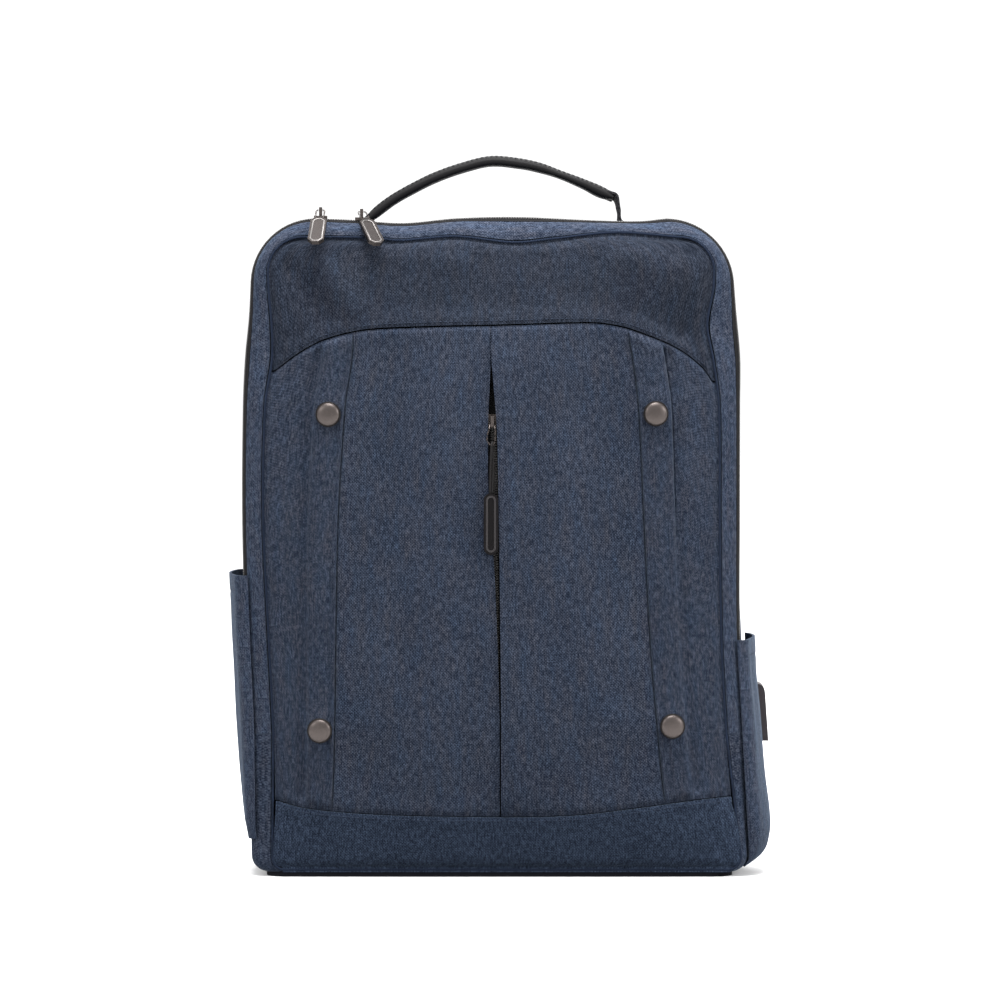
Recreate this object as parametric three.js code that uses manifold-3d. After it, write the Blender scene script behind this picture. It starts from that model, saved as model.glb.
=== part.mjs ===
// A laptop backpack that stands on its base, front towards -Y, in millimetres with +Z up.
// The origin is in the middle of the flat underside of its base.
import * as THREE from 'three';
import { mergeVertices } from 'three/addons/utils/BufferGeometryUtils.js';
import loadManifold from 'manifold-3d';

const { lerp, degToRad, clamp } = THREE.MathUtils;
const wasm = await loadManifold();
wasm.setup();

// Body
const bodyWidth = 316;
const bodyHeight = 418;
const bodyDepth = 116; // front seam to back seam
const frontCrown = 13; // how far the front swells past its seam
const backCrown = 4;
const clothWall = 2;
const backPadding = 8;
const backEdgeShare = 0.4; // padding left at the back seam
const baseThickness = 3;
const baseMargin = bodyWidth * 0.003; // how far the base runs past the foot of the gussets at the sides
const baseCorner = bodyHeight * 0.035;
const gap = 0.3;
const seamGap = 0.6;
const pipingRadius = 1.1;

// Main zip
const zipSetback = 11; // front seam to the middle of the zip
const zipWidth = 8;
const zipWall = 1.4;
const zipEndHeight = bodyHeight * 0.22;
const leftSliderPlace = bodyWidth * -0.3418;
const rightSliderPlace = bodyWidth * -0.2595;

// Front pockets
const pleatHeight = 1.4;
const pleatFold = 0.012; // half width of a fold, as a share of half the front's width
const flapHeight = 1.6;
const centreZipWidth = 26;
const centreZipRecess = 5;
const snapRadius = 8;
const snapHeight = 3.4;

// Side pockets
const pocketWall = 1.6;
const leftPocketTop = bodyHeight * 0.4593;
const leftPocketFoot = bodyHeight * 0.0574;
const leftPocketSwell = 8;
const rightPocketTop = bodyHeight * 0.3612;
const rightPocketFoot = bodyHeight * 0.0144;
const rightPocketSwell = 15;
const pocketFrontDepth = 0.045;
const pocketBackDepth = 0.6;

// Metal pulls and sliders
const sliderLength = 8.4;
const sliderWidth = 5.2;
const sliderPlate = 1.8;
const sliderEyeHeight = 4.4;
const sliderArchWall = 1;
const sliderArchWidth = 2;
const wireRadius = 0.6;
const linkWidth = 5.4;
const linkLength = 8;
const tabWidth = 10.2;
const tabLength = 25;
const tabThickness = 2.6;
const tabRim = 0.9;
const tabCornerCut = 0.28; // share of the tab's width
const recessDepth = 0.5;
const pullHang = degToRad(37); // below level, towards the front
const leftPullTurn = degToRad(-6);
const rightPullTurn = degToRad(23);

// Centre puller
const centreSliderHeight = bodyHeight * 0.6962;
const ringWidth = 5.6;
const ringLength = 15;
const pullerCordRadius = 0.65;
const gripWidth = 9.3;
const gripLength = 39;
const gripThickness = 3;
const gripRim = 1.4;
const gripTop = bodyHeight * 0.5873;

// Handle
const handleHalfSpan = 80;
const handleRise = 46.5;
const handleWidth = 24;
const handleThickness = 7;
const handleDepth = 0.8;
const handleStrapWall = 2.2;
const handleTabLength = 16;

// Shoulder straps
const strapWidth = 62;
const strapThickness = 9;
const strapTopHeight = bodyHeight * 0.9282;
const strapEndHeight = bodyHeight * 0.3158;
const strapTopPlace = bodyWidth * 0.1392;
const strapEndPlace = bodyWidth * 0.2722;
const strapStandOff = 13;
const webbingWidth = 20;
const webbingWall = 1.6;
const buckleWidth = 30;
const buckleLength = 27;
const buckleThickness = 3.4;
const buckleBar = 3.6;
const webbingTail = 62;
const cornerTabHeight = 30;
const cornerTabPlace = bodyWidth * 0.3734;

// Cable port
const portHeight = 37;
const portTop = bodyHeight * 0.2811;
const portWidth = 20;
const portThickness = 17;
const portCrown = 8;
const portLean = 2;
const portDepth = 0.74;
const socketWidth = 13;
const socketThickness = 5.6;
const socketDeep = 12;

const halfWidth = bodyWidth / 2;
const footHeight = baseThickness + gap;
const zipShare = zipSetback / bodyDepth;
const zipHalfShare = zipWidth / 2 / bodyDepth;
const gapShare = gap / bodyDepth;
const bodyCentre = new THREE.Vector3(0, 0, bodyHeight / 2);

// Half widths left and right of the middle, as shares of half the body's width, by height as a share of the body's
const FRONT_EDGE = [
  { up: 0.0, left: 0.889, right: 1.01 },
  { up: 0.06, left: 0.885, right: 1.012 },
  { up: 0.12, left: 0.876, right: 0.976 },
  { up: 0.245, left: 0.885, right: 0.949 },
  { up: 0.37, left: 0.901, right: 0.932 },
  { up: 0.55, left: 0.921, right: 0.925 },
  { up: 0.72, left: 0.912, right: 0.921 },
  { up: 0.79, left: 0.885, right: 0.897 },
  { up: 0.84, left: 0.887, right: 0.874 },
  { up: 0.9, left: 0.9, right: 0.9 },
  { up: 1.0, left: 0.9, right: 0.9 },
];
const RIDGE_EDGE = [
  { up: 0.0, left: 0.962, right: 1.03 },
  { up: 0.12, left: 0.965, right: 1.035 },
  { up: 0.245, left: 0.975, right: 1.02 },
  { up: 0.37, left: 0.988, right: 1.0 },
  { up: 0.55, left: 0.998, right: 0.998 },
  { up: 0.72, left: 0.994, right: 0.998 },
  { up: 0.79, left: 0.985, right: 0.998 },
  { up: 0.86, left: 0.968, right: 0.982 },
  { up: 1.0, left: 0.955, right: 0.955 },
];
const MIDDLE_EDGE = [
  { up: 0.0, left: 0.96, right: 1.02 },
  { up: 0.25, left: 0.985, right: 1.03 },
  { up: 0.55, left: 0.995, right: 0.995 },
  { up: 0.8, left: 0.975, right: 0.985 },
  { up: 1.0, left: 0.94, right: 0.94 },
];
const BACK_EDGE = [
  { up: 0.0, left: 0.93, right: 0.96 },
  { up: 0.25, left: 0.95, right: 0.965 },
  { up: 0.55, left: 0.955, right: 0.955 },
  { up: 1.0, left: 0.92, right: 0.92 },
];

// How far the top edge drops, as a share of the body's height, by place across from -1 at the left to 1
const FRONT_DIPS = [
  { across: -1, drop: 0 },
  { across: -0.64, drop: 0.001 },
  { across: -0.49, drop: 0.005 },
  { across: -0.19, drop: -0.001 },
  { across: 0.12, drop: 0.008 },
  { across: 0.34, drop: 0.002 },
  { across: 0.66, drop: -0.007 },
  { across: 1, drop: 0 },
];
const RIDGE_DIPS = [
  { across: -1, drop: 0 },
  { across: -0.8, drop: 0.002 },
  { across: -0.5, drop: 0.007 },
  { across: -0.2, drop: 0 },
  { across: 0.15, drop: -0.002 },
  { across: 0.6, drop: 0.003 },
  { across: 0.85, drop: 0.004 },
  { across: 1, drop: 0 },
];
const FLAT_TOP = [
  { across: -1, drop: 0 },
  { across: 1, drop: 0 },
];

// How far back the front seam leans, as a share of the body's depth, by height
const FRONT_LEAN = [
  { up: 0.0, back: 0.035 },
  { up: 0.12, back: 0.004 },
  { up: 0.5, back: -0.01 },
  { up: 0.8, back: 0.0 },
  { up: 1.0, back: 0.03 },
];

// Sections from the front seam to the back seam. top and the corner radii are shares of the body's height
const SECTIONS = [
  { depth: 0, edge: FRONT_EDGE, dips: FRONT_DIPS, top: 0.976, topCorner: 0.055, footCorner: 0.022 },
  { depth: zipShare, edge: RIDGE_EDGE, dips: RIDGE_DIPS, top: 1, topCorner: 0.095, footCorner: 0.024 },
  { depth: 0.55, edge: MIDDLE_EDGE, dips: FLAT_TOP, top: 0.992, topCorner: 0.095, footCorner: 0.03 },
  { depth: 1, edge: BACK_EDGE, dips: FLAT_TOP, top: 0.966, topCorner: 0.085, footCorner: 0.032 },
];

// Height of the seam under the yoke and of the seam over the base band, as shares of the body's height
const YOKE_SEAM = [
  { across: -1, up: 0.771 },
  { across: -0.89, up: 0.799 },
  { across: -0.78, up: 0.818 },
  { across: -0.62, up: 0.832 },
  { across: -0.45, up: 0.837 },
  { across: 0.1, up: 0.842 },
  { across: 0.46, up: 0.845 },
  { across: 0.58, up: 0.841 },
  { across: 0.69, up: 0.831 },
  { across: 0.86, up: 0.806 },
  { across: 0.96, up: 0.777 },
  { across: 1, up: 0.755 },
];
const BAND_SEAM = [
  { across: -1, up: 0.117 },
  { across: -0.86, up: 0.106 },
  { across: -0.5, up: 0.097 },
  { across: 0, up: 0.094 },
  { across: 0.33, up: 0.096 },
  { across: 0.62, up: 0.108 },
  { across: 0.85, up: 0.119 },
  { across: 1, up: 0.124 },
];

// Sewn pleats that lean outwards: places across at the yoke and at the band
const PLEATS = [
  { innerTop: -0.636, innerFoot: -0.748, outerTop: -0.78, outerFoot: -0.876 },
  { innerTop: 0.64, innerFoot: 0.733, outerTop: 0.79, outerFoot: 0.856 },
];

// Snaps between a pleat's two folds
const SNAPS = [
  { name: 'snap_upper_left', pleat: PLEATS[0], up: 0.706 },
  { name: 'snap_upper_right', pleat: PLEATS[1], up: 0.707 },
  { name: 'snap_lower_left', pleat: PLEATS[0], up: 0.226 },
  { name: 'snap_lower_right', pleat: PLEATS[1], up: 0.233 },
];

// Edges of the two front panels on each side of the centre slit, as shares of half the body's width
const SLIT = [
  { up: 0.1, left: 0.035, right: 0.04 },
  { up: 0.27, left: 0.033, right: 0.04 },
  { up: 0.48, left: 0.012, right: 0.034 },
  { up: 0.57, left: -0.008, right: 0.03 },
  { up: 0.68, left: -0.012, right: 0.024 },
  { up: 0.76, left: -0.004, right: 0.008 },
  { up: 0.79, left: -0.0015, right: 0.002 },
  { up: 0.86, left: -0.0015, right: 0.002 },
];

// Soft swells and dents of the front, each a round bump. reach is a share of half the body's width, swell of the crown
const FRONT_DENTS = [
  { across: 0.72, up: 0.91, reach: 0.3, swell: 0.25 },
  { across: -0.55, up: 0.9, reach: 0.26, swell: 0.2 },
  { across: 0.1, up: 0.955, reach: 0.2, swell: -0.3 },
  { across: 0.93, up: 0.845, reach: 0.12, swell: -0.3 },
  { across: -0.3, up: 0.86, reach: 0.28, swell: -0.12 },
  { across: 0.55, up: 0.25, reach: 0.4, swell: 0.12 },
  { across: 0.8, up: 0.06, reach: 0.25, swell: 0.2 },
];

// Swell of the side pockets as shares of their greatest swell, by height as a share of the pocket's own
const LEFT_POCKET = [
  { up: 0, swell: 0 },
  { up: 0.07, swell: 0.35 },
  { up: 0.3, swell: 0.7 },
  { up: 0.7, swell: 0.9 },
  { up: 1, swell: 1 },
];
const RIGHT_POCKET = [
  { up: 0, swell: 0 },
  { up: 0.04, swell: 0.55 },
  { up: 0.09, swell: 0.85 },
  { up: 0.2, swell: 1 },
  { up: 0.45, swell: 0.72 },
  { up: 0.75, swell: 0.52 },
  { up: 1, swell: 0.46 },
];

// Middle line of the handle, and its thickness, as shares of its half span, its rise and its thickness
const HANDLE_LINE = [
  { along: -1.0, rise: 0.14, thick: 0.7 },
  { along: -0.93, rise: 0.25, thick: 0.95 },
  { along: -0.8, rise: 0.42, thick: 1 },
  { along: -0.65, rise: 0.57, thick: 1 },
  { along: -0.45, rise: 0.74, thick: 1 },
  { along: -0.22, rise: 0.88, thick: 1 },
  { along: 0.0, rise: 0.965, thick: 1 },
  { along: 0.24, rise: 0.93, thick: 1 },
  { along: 0.4, rise: 0.87, thick: 0.95 },
  { along: 0.57, rise: 0.77, thick: 0.8 },
  { along: 0.75, rise: 0.645, thick: 0.95 },
  { along: 0.88, rise: 0.54, thick: 1.1 },
  { along: 0.98, rise: 0.47, thick: 0.75 },
];

// Shoulder strap from its top to its end: place across and height between the two, width, and distance off the back
const STRAP_LINE = [
  { down: 0, across: 0, width: 0.86, off: 0 },
  { down: 0.06, across: 0.04, width: 0.92, off: 0.25 },
  { down: 0.18, across: 0.18, width: 1, off: 0.75 },
  { down: 0.36, across: 0.45, width: 1, off: 1 },
  { down: 0.55, across: 0.72, width: 0.96, off: 1 },
  { down: 0.75, across: 0.9, width: 0.88, off: 0.8 },
  { down: 0.92, across: 0.98, width: 0.74, off: 0.5 },
  { down: 1, across: 1, width: 0.6, off: 0.4 },
];

// Wire ring of the centre zip, from the slider's eye out through the slit and back. side is a share of the ring's
// width, up of its length, and forward of the way from the eye to the front
const RING = [
  { side: 0, forward: 0, up: 0.03 },
  { side: 0.2, forward: 0.02, up: -0.02 },
  { side: 0.29, forward: 0.5, up: -0.14 },
  { side: 0.33, forward: 1, up: -0.32 },
  { side: 0.33, forward: 1, up: -0.6 },
  { side: 0.3, forward: 1, up: -0.84 },
  { side: 0.12, forward: 1, up: -1 },
  { side: -0.2, forward: 1, up: -1 },
  { side: -0.58, forward: 1, up: -0.84 },
  { side: -0.6, forward: 1, up: -0.6 },
  { side: -0.34, forward: 1, up: -0.32 },
  { side: -0.29, forward: 0.5, up: -0.14 },
  { side: -0.2, forward: 0.02, up: -0.02 },
];

// One strand of the puller's cord, from the grip's top to the ring. apart is in strand spacings
const STRAND = [
  { up: 0, apart: 1, forward: 0 },
  { up: 0.25, apart: 1.2, forward: 0.1 },
  { up: 0.6, apart: 1.3, forward: 0.4 },
  { up: 0.88, apart: 1, forward: 0.9 },
  { up: 1, apart: 0.8, forward: 1 },
];

// Dome of a snap's cap, as shares of its radius and height
const SNAP_DOME = [
  { out: 0, up: 0 },
  { out: 0.94, up: 0 },
  { out: 1, up: 0.22 },
  { out: 0.95, up: 0.45 },
  { out: 0.82, up: 0.6 },
  { out: 0.55, up: 0.86 },
  { out: 0, up: 1 },
];

const rimFootSteps = 3;
const rimTopSteps = 4;
const rimSideSteps = 9;
const rimAcrossSteps = 12;
const rimSideRows = rimFootSteps + 1 + 2 + rimSideSteps + rimTopSteps + 1;
const rimZipEndRow = rimFootSteps + 2;

// Smooth value of one column of a table at a place on its first column
function readTable(rows, column, at) {
  const place = Object.keys(rows[0])[0];
  const last = rows.length - 1;
  const found = rows.findIndex((row) => row[place] >= at);
  const next = found < 0 ? last : Math.max(found, 1);
  const before = rows[next - 1];
  const after = rows[next];
  const step = after[place] - before[place];
  const t = clamp((at - before[place]) / step, 0, 1);
  const slope = (i) => {
    const low = rows[Math.max(i - 1, 0)];
    const high = rows[Math.min(i + 1, last)];
    return (high[column] - low[column]) / (high[place] - low[place]);
  };
  const stay = 1 - t;
  return (1 + 2 * t) * stay * stay * before[column]
    + t * stay * stay * step * slope(next - 1)
    + t * t * (3 - 2 * t) * after[column]
    - t * t * stay * step * slope(next);
}

// How far a round corner pulls an edge in at a distance from the corner's far side
function cornerCut(distance, radius) {
  const rest = radius - clamp(distance, 0, radius);
  return radius - Math.sqrt(radius * radius - rest * rest);
}

// Half width of a section at a height, moved in by an inset
function sectionHalfWidth(section, side, z, inset = 0) {
  const straight = readTable(section.edge, side, z / bodyHeight) * halfWidth;
  const fromTop = section.top * bodyHeight - z;
  const fromFoot = z - footHeight;
  const topRadius = section.topCorner * bodyHeight - inset;
  const footRadius = section.footCorner * bodyHeight - inset;
  return straight - inset - cornerCut(fromTop - inset, topRadius) - cornerCut(fromFoot - inset, footRadius);
}

function sectionTop(section, across) {
  return (section.top - readTable(section.dips, 'drop', across)) * bodyHeight;
}

// Heights of the rim's rows: round foot corner, up to the zip's end, up to the round top corner, and round that
function rimHeights(section, inset) {
  const footRadius = section.footCorner * bodyHeight - inset;
  const topRadius = section.topCorner * bodyHeight - inset;
  const foot = footHeight + inset;
  const top = section.top * bodyHeight - inset;
  const heights = [];
  for (let i = 0; i <= rimFootSteps; i++) {
    heights.push(foot + footRadius * (1 - Math.cos((i / rimFootSteps) * (Math.PI / 2))));
  }
  heights.push(zipEndHeight - gap * 4, zipEndHeight);
  for (let i = 0; i < rimSideSteps; i++) {
    heights.push(lerp(zipEndHeight + gap, top - topRadius, i / rimSideSteps));
  }
  for (let i = 0; i <= rimTopSteps; i++) {
    heights.push(top - topRadius * (1 - Math.sin((i / rimTopSteps) * (Math.PI / 2))));
  }
  return heights;
}

// The rim of a section in the XZ plane: up the left side, over the top and down the right side
function sectionRim(section, inset = 0) {
  const heights = rimHeights(section, inset);
  const left = heights.map((z) => new THREE.Vector2(-sectionHalfWidth(section, 'left', z, inset), z));
  const right = heights.map((z) => new THREE.Vector2(sectionHalfWidth(section, 'right', z, inset), z)).reverse();
  const top = [];
  for (let i = 1; i < rimAcrossSteps; i++) {
    const share = i / rimAcrossSteps;
    const x = lerp(left.at(-1).x, right[0].x, share);
    top.push(new THREE.Vector2(x, sectionTop(section, lerp(-1, 1, share)) - inset));
  }
  return [...left, ...top, ...right];
}

const rims = new Map();

// The rim at any depth, mixed from the two sections beside it. It rounds over between the seam and the zip
function rimAt(depth) {
  if (!rims.has(depth)) rims.set(depth, mixedRim(depth));
  return rims.get(depth);
}

function mixedRim(depth) {
  const found = SECTIONS.findIndex((section) => section.depth >= depth);
  const next = Math.max(found, 1);
  const before = SECTIONS[next - 1];
  const after = SECTIONS[next];
  const t = (depth - before.depth) / (after.depth - before.depth);
  const eased = next === 1 ? Math.sin(t * (Math.PI / 2)) : t * t * (3 - 2 * t);
  const start = sectionRim(before);
  const end = sectionRim(after);
  return start.map((point, i) => point.clone().lerp(end[i], eased));
}

function seamY(z) {
  return (readTable(FRONT_LEAN, 'back', z / bodyHeight) - 0.5) * bodyDepth;
}

function depthY(depth, z) {
  return lerp(seamY(z), bodyDepth / 2, depth);
}

// Distance from the middle to the gusset's outside on one side, at a depth and height
function sideAt(depth, side, z) {
  const rim = rimAt(depth);
  const half = rim.slice(0, rimSideRows);
  const points = side === 'left' ? half : rim.slice(-half.length).reverse();
  const next = clamp(points.findIndex((point) => point.y >= z), 1, points.length - 1);
  const low = points[next - 1];
  const high = points[next];
  return Math.abs(lerp(low.x, high.x, clamp((z - low.y) / (high.y - low.y), 0, 1)));
}

function topAt(depth, x) {
  const points = rimAt(depth).filter((point, i, all) => i === 0 || point.x > all[i - 1].x);
  const next = clamp(points.findIndex((point) => point.x >= x), 1, points.length - 1);
  const low = points[next - 1];
  const high = points[next];
  return lerp(low.y, high.y, (x - low.x) / (high.x - low.x));
}

// Triangles are turned so that the closed surface faces out
function facingOut(points, triangles) {
  let volume = 0;
  for (const [a, b, c] of triangles) {
    volume += points[a].dot(new THREE.Vector3().crossVectors(points[b], points[c]));
  }
  const turned = volume < 0 ? triangles.map(([a, b, c]) => [a, c, b]) : triangles;
  const geometry = new THREE.BufferGeometry();
  geometry.setAttribute('position', new THREE.Float32BufferAttribute(points.flatMap((p) => [p.x, p.y, p.z]), 3));
  geometry.setIndex(turned.flat());
  return geometry;
}

// A closed solid through rings of points. Its ends are 'round' for a convex ring, 'sheet' for a ring that runs out on
// one face and back on the other, or 'joined' where the last ring meets the first
function loftRings(rings, ends) {
  const count = rings[0].length;
  const triangles = [];
  const quad = (a, b, c, d) => triangles.push([a, b, c], [a, c, d]);
  const spans = ends === 'joined' ? rings.length : rings.length - 1;
  for (let i = 0; i < spans; i++) {
    const here = i * count;
    const there = ((i + 1) % rings.length) * count;
    for (let j = 0; j < count; j++) {
      const k = (j + 1) % count;
      quad(here + j, here + k, there + k, there + j);
    }
  }
  if (ends !== 'joined') {
    const last = (rings.length - 1) * count;
    if (ends === 'round') {
      for (let j = 1; j < count - 1; j++) {
        triangles.push([0, j + 1, j], [last, last + j, last + j + 1]);
      }
    } else {
      for (let j = 0; j < count / 2 - 1; j++) {
        quad(count - 1 - j, count - 2 - j, j + 1, j);
        quad(last + j, last + j + 1, last + count - 2 - j, last + count - 1 - j);
      }
    }
  }
  return facingOut(rings.flat(), triangles);
}

function sheetSolid(outer, inner) {
  return loftRings(outer.map((row, i) => [...row, ...[...inner[i]].reverse()]), 'sheet');
}

// Normals of a grid of points, facing away from the middle of the body
function gridNormals(grid) {
  return grid.map((row, i) => row.map((point, j) => {
    const alongRows = grid[Math.min(i + 1, grid.length - 1)][j].clone().sub(grid[Math.max(i - 1, 0)][j]);
    const alongRow = row[Math.min(j + 1, row.length - 1)].clone().sub(row[Math.max(j - 1, 0)]);
    const normal = alongRows.cross(alongRow).normalize();
    return point.clone().sub(bodyCentre).dot(normal) < 0 ? normal.negate() : normal;
  }));
}

function movedAlong(grid, normals, distance) {
  return grid.map((row, i) => row.map((point, j) => point.clone().addScaledVector(normals[i][j], distance)));
}

function wallSolid(outer, wall) {
  return sheetSolid(outer, movedAlong(outer, gridNormals(outer), -wall));
}

// Rings of a flat strap along a path. across gives the direction of its width at each point
function strapRings(path, across, widths, thicknesses) {
  return path.map((point, i) => {
    const run = path[Math.min(i + 1, path.length - 1)].clone().sub(path[Math.max(i - 1, 0)]).normalize();
    const side = across[i].clone().addScaledVector(run, -across[i].dot(run)).normalize();
    const lift = run.clone().cross(side).normalize();
    const w = widths[i] / 2;
    const t = thicknesses[i] / 2;
    const at = (x, y) => point.clone().addScaledVector(side, x).addScaledVector(lift, y);
    return [at(-w, -t), at(w, -t), at(w, t), at(-w, t)];
  });
}

// Rings of a padded strap, whose edges are round
function paddedRings(path, across, widths, thicknesses) {
  return strapRings(path, across, widths, thicknesses).map(([a, b, c, d], i) => {
    const round = Math.min(thicknesses[i] * 0.55, widths[i] / 3) / widths[i];
    const low = (share) => a.clone().lerp(b, share);
    const high = (share) => d.clone().lerp(c, share);
    const mid = (share) => low(share).lerp(high(share), 0.5);
    return [
      mid(0), low(round * 0.3).lerp(high(round * 0.3), 0.15), low(round), low(1 - round),
      low(1 - round * 0.3).lerp(high(1 - round * 0.3), 0.15), mid(1),
      low(1 - round * 0.3).lerp(high(1 - round * 0.3), 0.85), high(1 - round), high(round),
      low(round * 0.3).lerp(high(round * 0.3), 0.85),
    ];
  });
}

// Rings of a round wire along a path that stays near one plane
function wireRings(path, radius, sides, planeNormal, closed) {
  const count = path.length;
  return path.map((point, i) => {
    const next = closed ? path[(i + 1) % count] : path[Math.min(i + 1, count - 1)];
    const back = closed ? path[(i + count - 1) % count] : path[Math.max(i - 1, 0)];
    const run = next.clone().sub(back).normalize();
    const side = run.clone().cross(planeNormal).normalize();
    const lift = side.clone().cross(run).normalize();
    return Array.from({ length: sides }, (_, j) => {
      const angle = (j / sides) * Math.PI * 2;
      return point.clone()
        .addScaledVector(side, Math.cos(angle) * radius)
        .addScaledVector(lift, Math.sin(angle) * radius);
    });
  });
}

function smoothPath(points, steps) {
  return new THREE.CatmullRomCurve3(points, false, 'centripetal').getSpacedPoints(steps);
}

// Boolean helpers
function toSolid(geometry) {
  const bare = geometry.clone();
  bare.deleteAttribute('normal');
  bare.deleteAttribute('uv');
  const merged = mergeVertices(bare, 1e-4);
  return new wasm.Manifold(new wasm.Mesh({
    numProp: 3,
    vertProperties: Float32Array.from(merged.attributes.position.array),
    triVerts: Uint32Array.from(merged.index.array),
  }));
}

function toGeometry(solid) {
  const mesh = solid.getMesh();
  const geometry = new THREE.BufferGeometry();
  geometry.setAttribute('position', new THREE.Float32BufferAttribute(Float32Array.from(mesh.vertProperties), 3));
  geometry.setIndex(Array.from(mesh.triVerts));
  return geometry;
}

function cutFrom(whole, ...tools) {
  return toGeometry(tools.reduce((rest, tool) => rest.subtract(toSolid(tool)), toSolid(whole)));
}

function joined(first, ...others) {
  return toGeometry(others.reduce((sum, other) => sum.add(toSolid(other)), toSolid(first)));
}

function block(width, depth, height, x = 0, y = 0, z = 0) {
  return new THREE.BoxGeometry(width, depth, height).translate(x, y, z);
}

// Extrudes a shape drawn in the XZ plane towards +Y, from y to y + depth
function plateFacingFront(shape, depth, y) {
  const geometry = new THREE.ExtrudeGeometry(shape, { depth, bevelEnabled: false, curveSegments: 8 });
  return geometry.rotateX(Math.PI / 2).translate(0, y + depth, 0);
}

const material = (color, roughness, metalness = 0) => new THREE.MeshStandardMaterial({ color, roughness, metalness });
const clothBlue = 0x3f4654;
const zipBlack = 0x1d1c1f;
const gunmetal = 0x615958;

const backpack = new THREE.Group();

function addPiece(name, geometry, color, roughness, metalness = 0, parent = backpack) {
  const piece = new THREE.Mesh(geometry, material(color, roughness, metalness));
  piece.name = name;
  parent.add(piece);
  return piece;
}

const addCloth = (name, geometry) => addPiece(name, geometry, clothBlue, 0.95);

// Front surface, by place across (-1 to 1) and height
const frontSection = SECTIONS[0];
const frontInset = pipingRadius * 2 + gap * 3;
const backSection = SECTIONS.at(-1);
const backInset = gap * 2;

function frontHalf(side, z) {
  return sectionHalfWidth(frontSection, side, z, frontInset);
}

function frontX(across, z) {
  return across < 0 ? across * frontHalf('left', z) : across * frontHalf('right', z);
}

function acrossAt(x, z) {
  return x < 0 ? x / frontHalf('left', z) : x / frontHalf('right', z);
}

function frontPoint(across, z) {
  const low = footHeight + frontInset;
  const high = sectionTop(frontSection, across) - frontInset;
  const rise = clamp((z - low) / (high - low), 0, 1);
  const swellAcross = (1 - Math.min(Math.abs(across), 1) ** 2.6) ** 0.6;
  const swellUp = (1 - Math.abs(2 * rise - 1) ** 4) ** 0.55;
  const x = frontX(across, z);
  let dents = 0;
  for (const dent of FRONT_DENTS) {
    const away = Math.hypot(across - dent.across, (z / bodyHeight - dent.up) * (bodyHeight / halfWidth)) / dent.reach;
    dents += dent.swell * Math.exp(-away * away);
  }
  const swell = frontCrown * swellAcross * swellUp * (1 + dents);
  return new THREE.Vector3(x, seamY(z) - swell, z);
}

function frontNormal(across, z) {
  const small = 0.004;
  const left = clamp(across - small, -1, 1);
  const right = clamp(across + small, -1, 1);
  const sideways = frontPoint(right, z).sub(frontPoint(left, z));
  const upwards = frontPoint(across, z + small * bodyHeight).sub(frontPoint(across, z - small * bodyHeight));
  const normal = sideways.cross(upwards).normalize();
  return normal.y > 0 ? normal.negate() : normal;
}

function pleatAt(pleat, which, z) {
  const low = readTable(BAND_SEAM, 'up', 0);
  const high = readTable(YOKE_SEAM, 'up', 0);
  const share = clamp((z / bodyHeight - low) / (high - low), 0, 1);
  return lerp(pleat[`${which}Foot`], pleat[`${which}Top`], share);
}

function offFront(across, z, off) {
  return frontPoint(across, z).addScaledVector(frontNormal(across, z), off);
}

// Where a column meets a seam whose height is a function of the place across
function meetSeam(column, seam) {
  const across = column(seam(column(bodyHeight / 2)));
  return { across, z: seam(across) };
}

// A piece of the front between two seams, in columns that may follow the pleats
function frontSheet(columns, low, high, rows, relief) {
  const outer = [];
  const inner = [];
  for (let i = 0; i <= rows; i++) {
    const outerRow = [];
    const innerRow = [];
    columns.forEach((column, j) => {
      const foot = meetSeam(column, low);
      const top = meetSeam(column, high);
      const z = lerp(foot.z, top.z, i / rows);
      let across = column(z);
      if (i === 0) across = foot.across;
      if (i === rows) across = top.across;
      const sewnFlat = i === 0 || i === rows;
      outerRow.push(offFront(across, z, sewnFlat ? 0 : relief(j)));
      innerRow.push(offFront(across, z, -clothWall));
    });
    outer.push(outerRow);
    inner.push(innerRow);
  }
  return sheetSolid(outer, inner);
}

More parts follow.
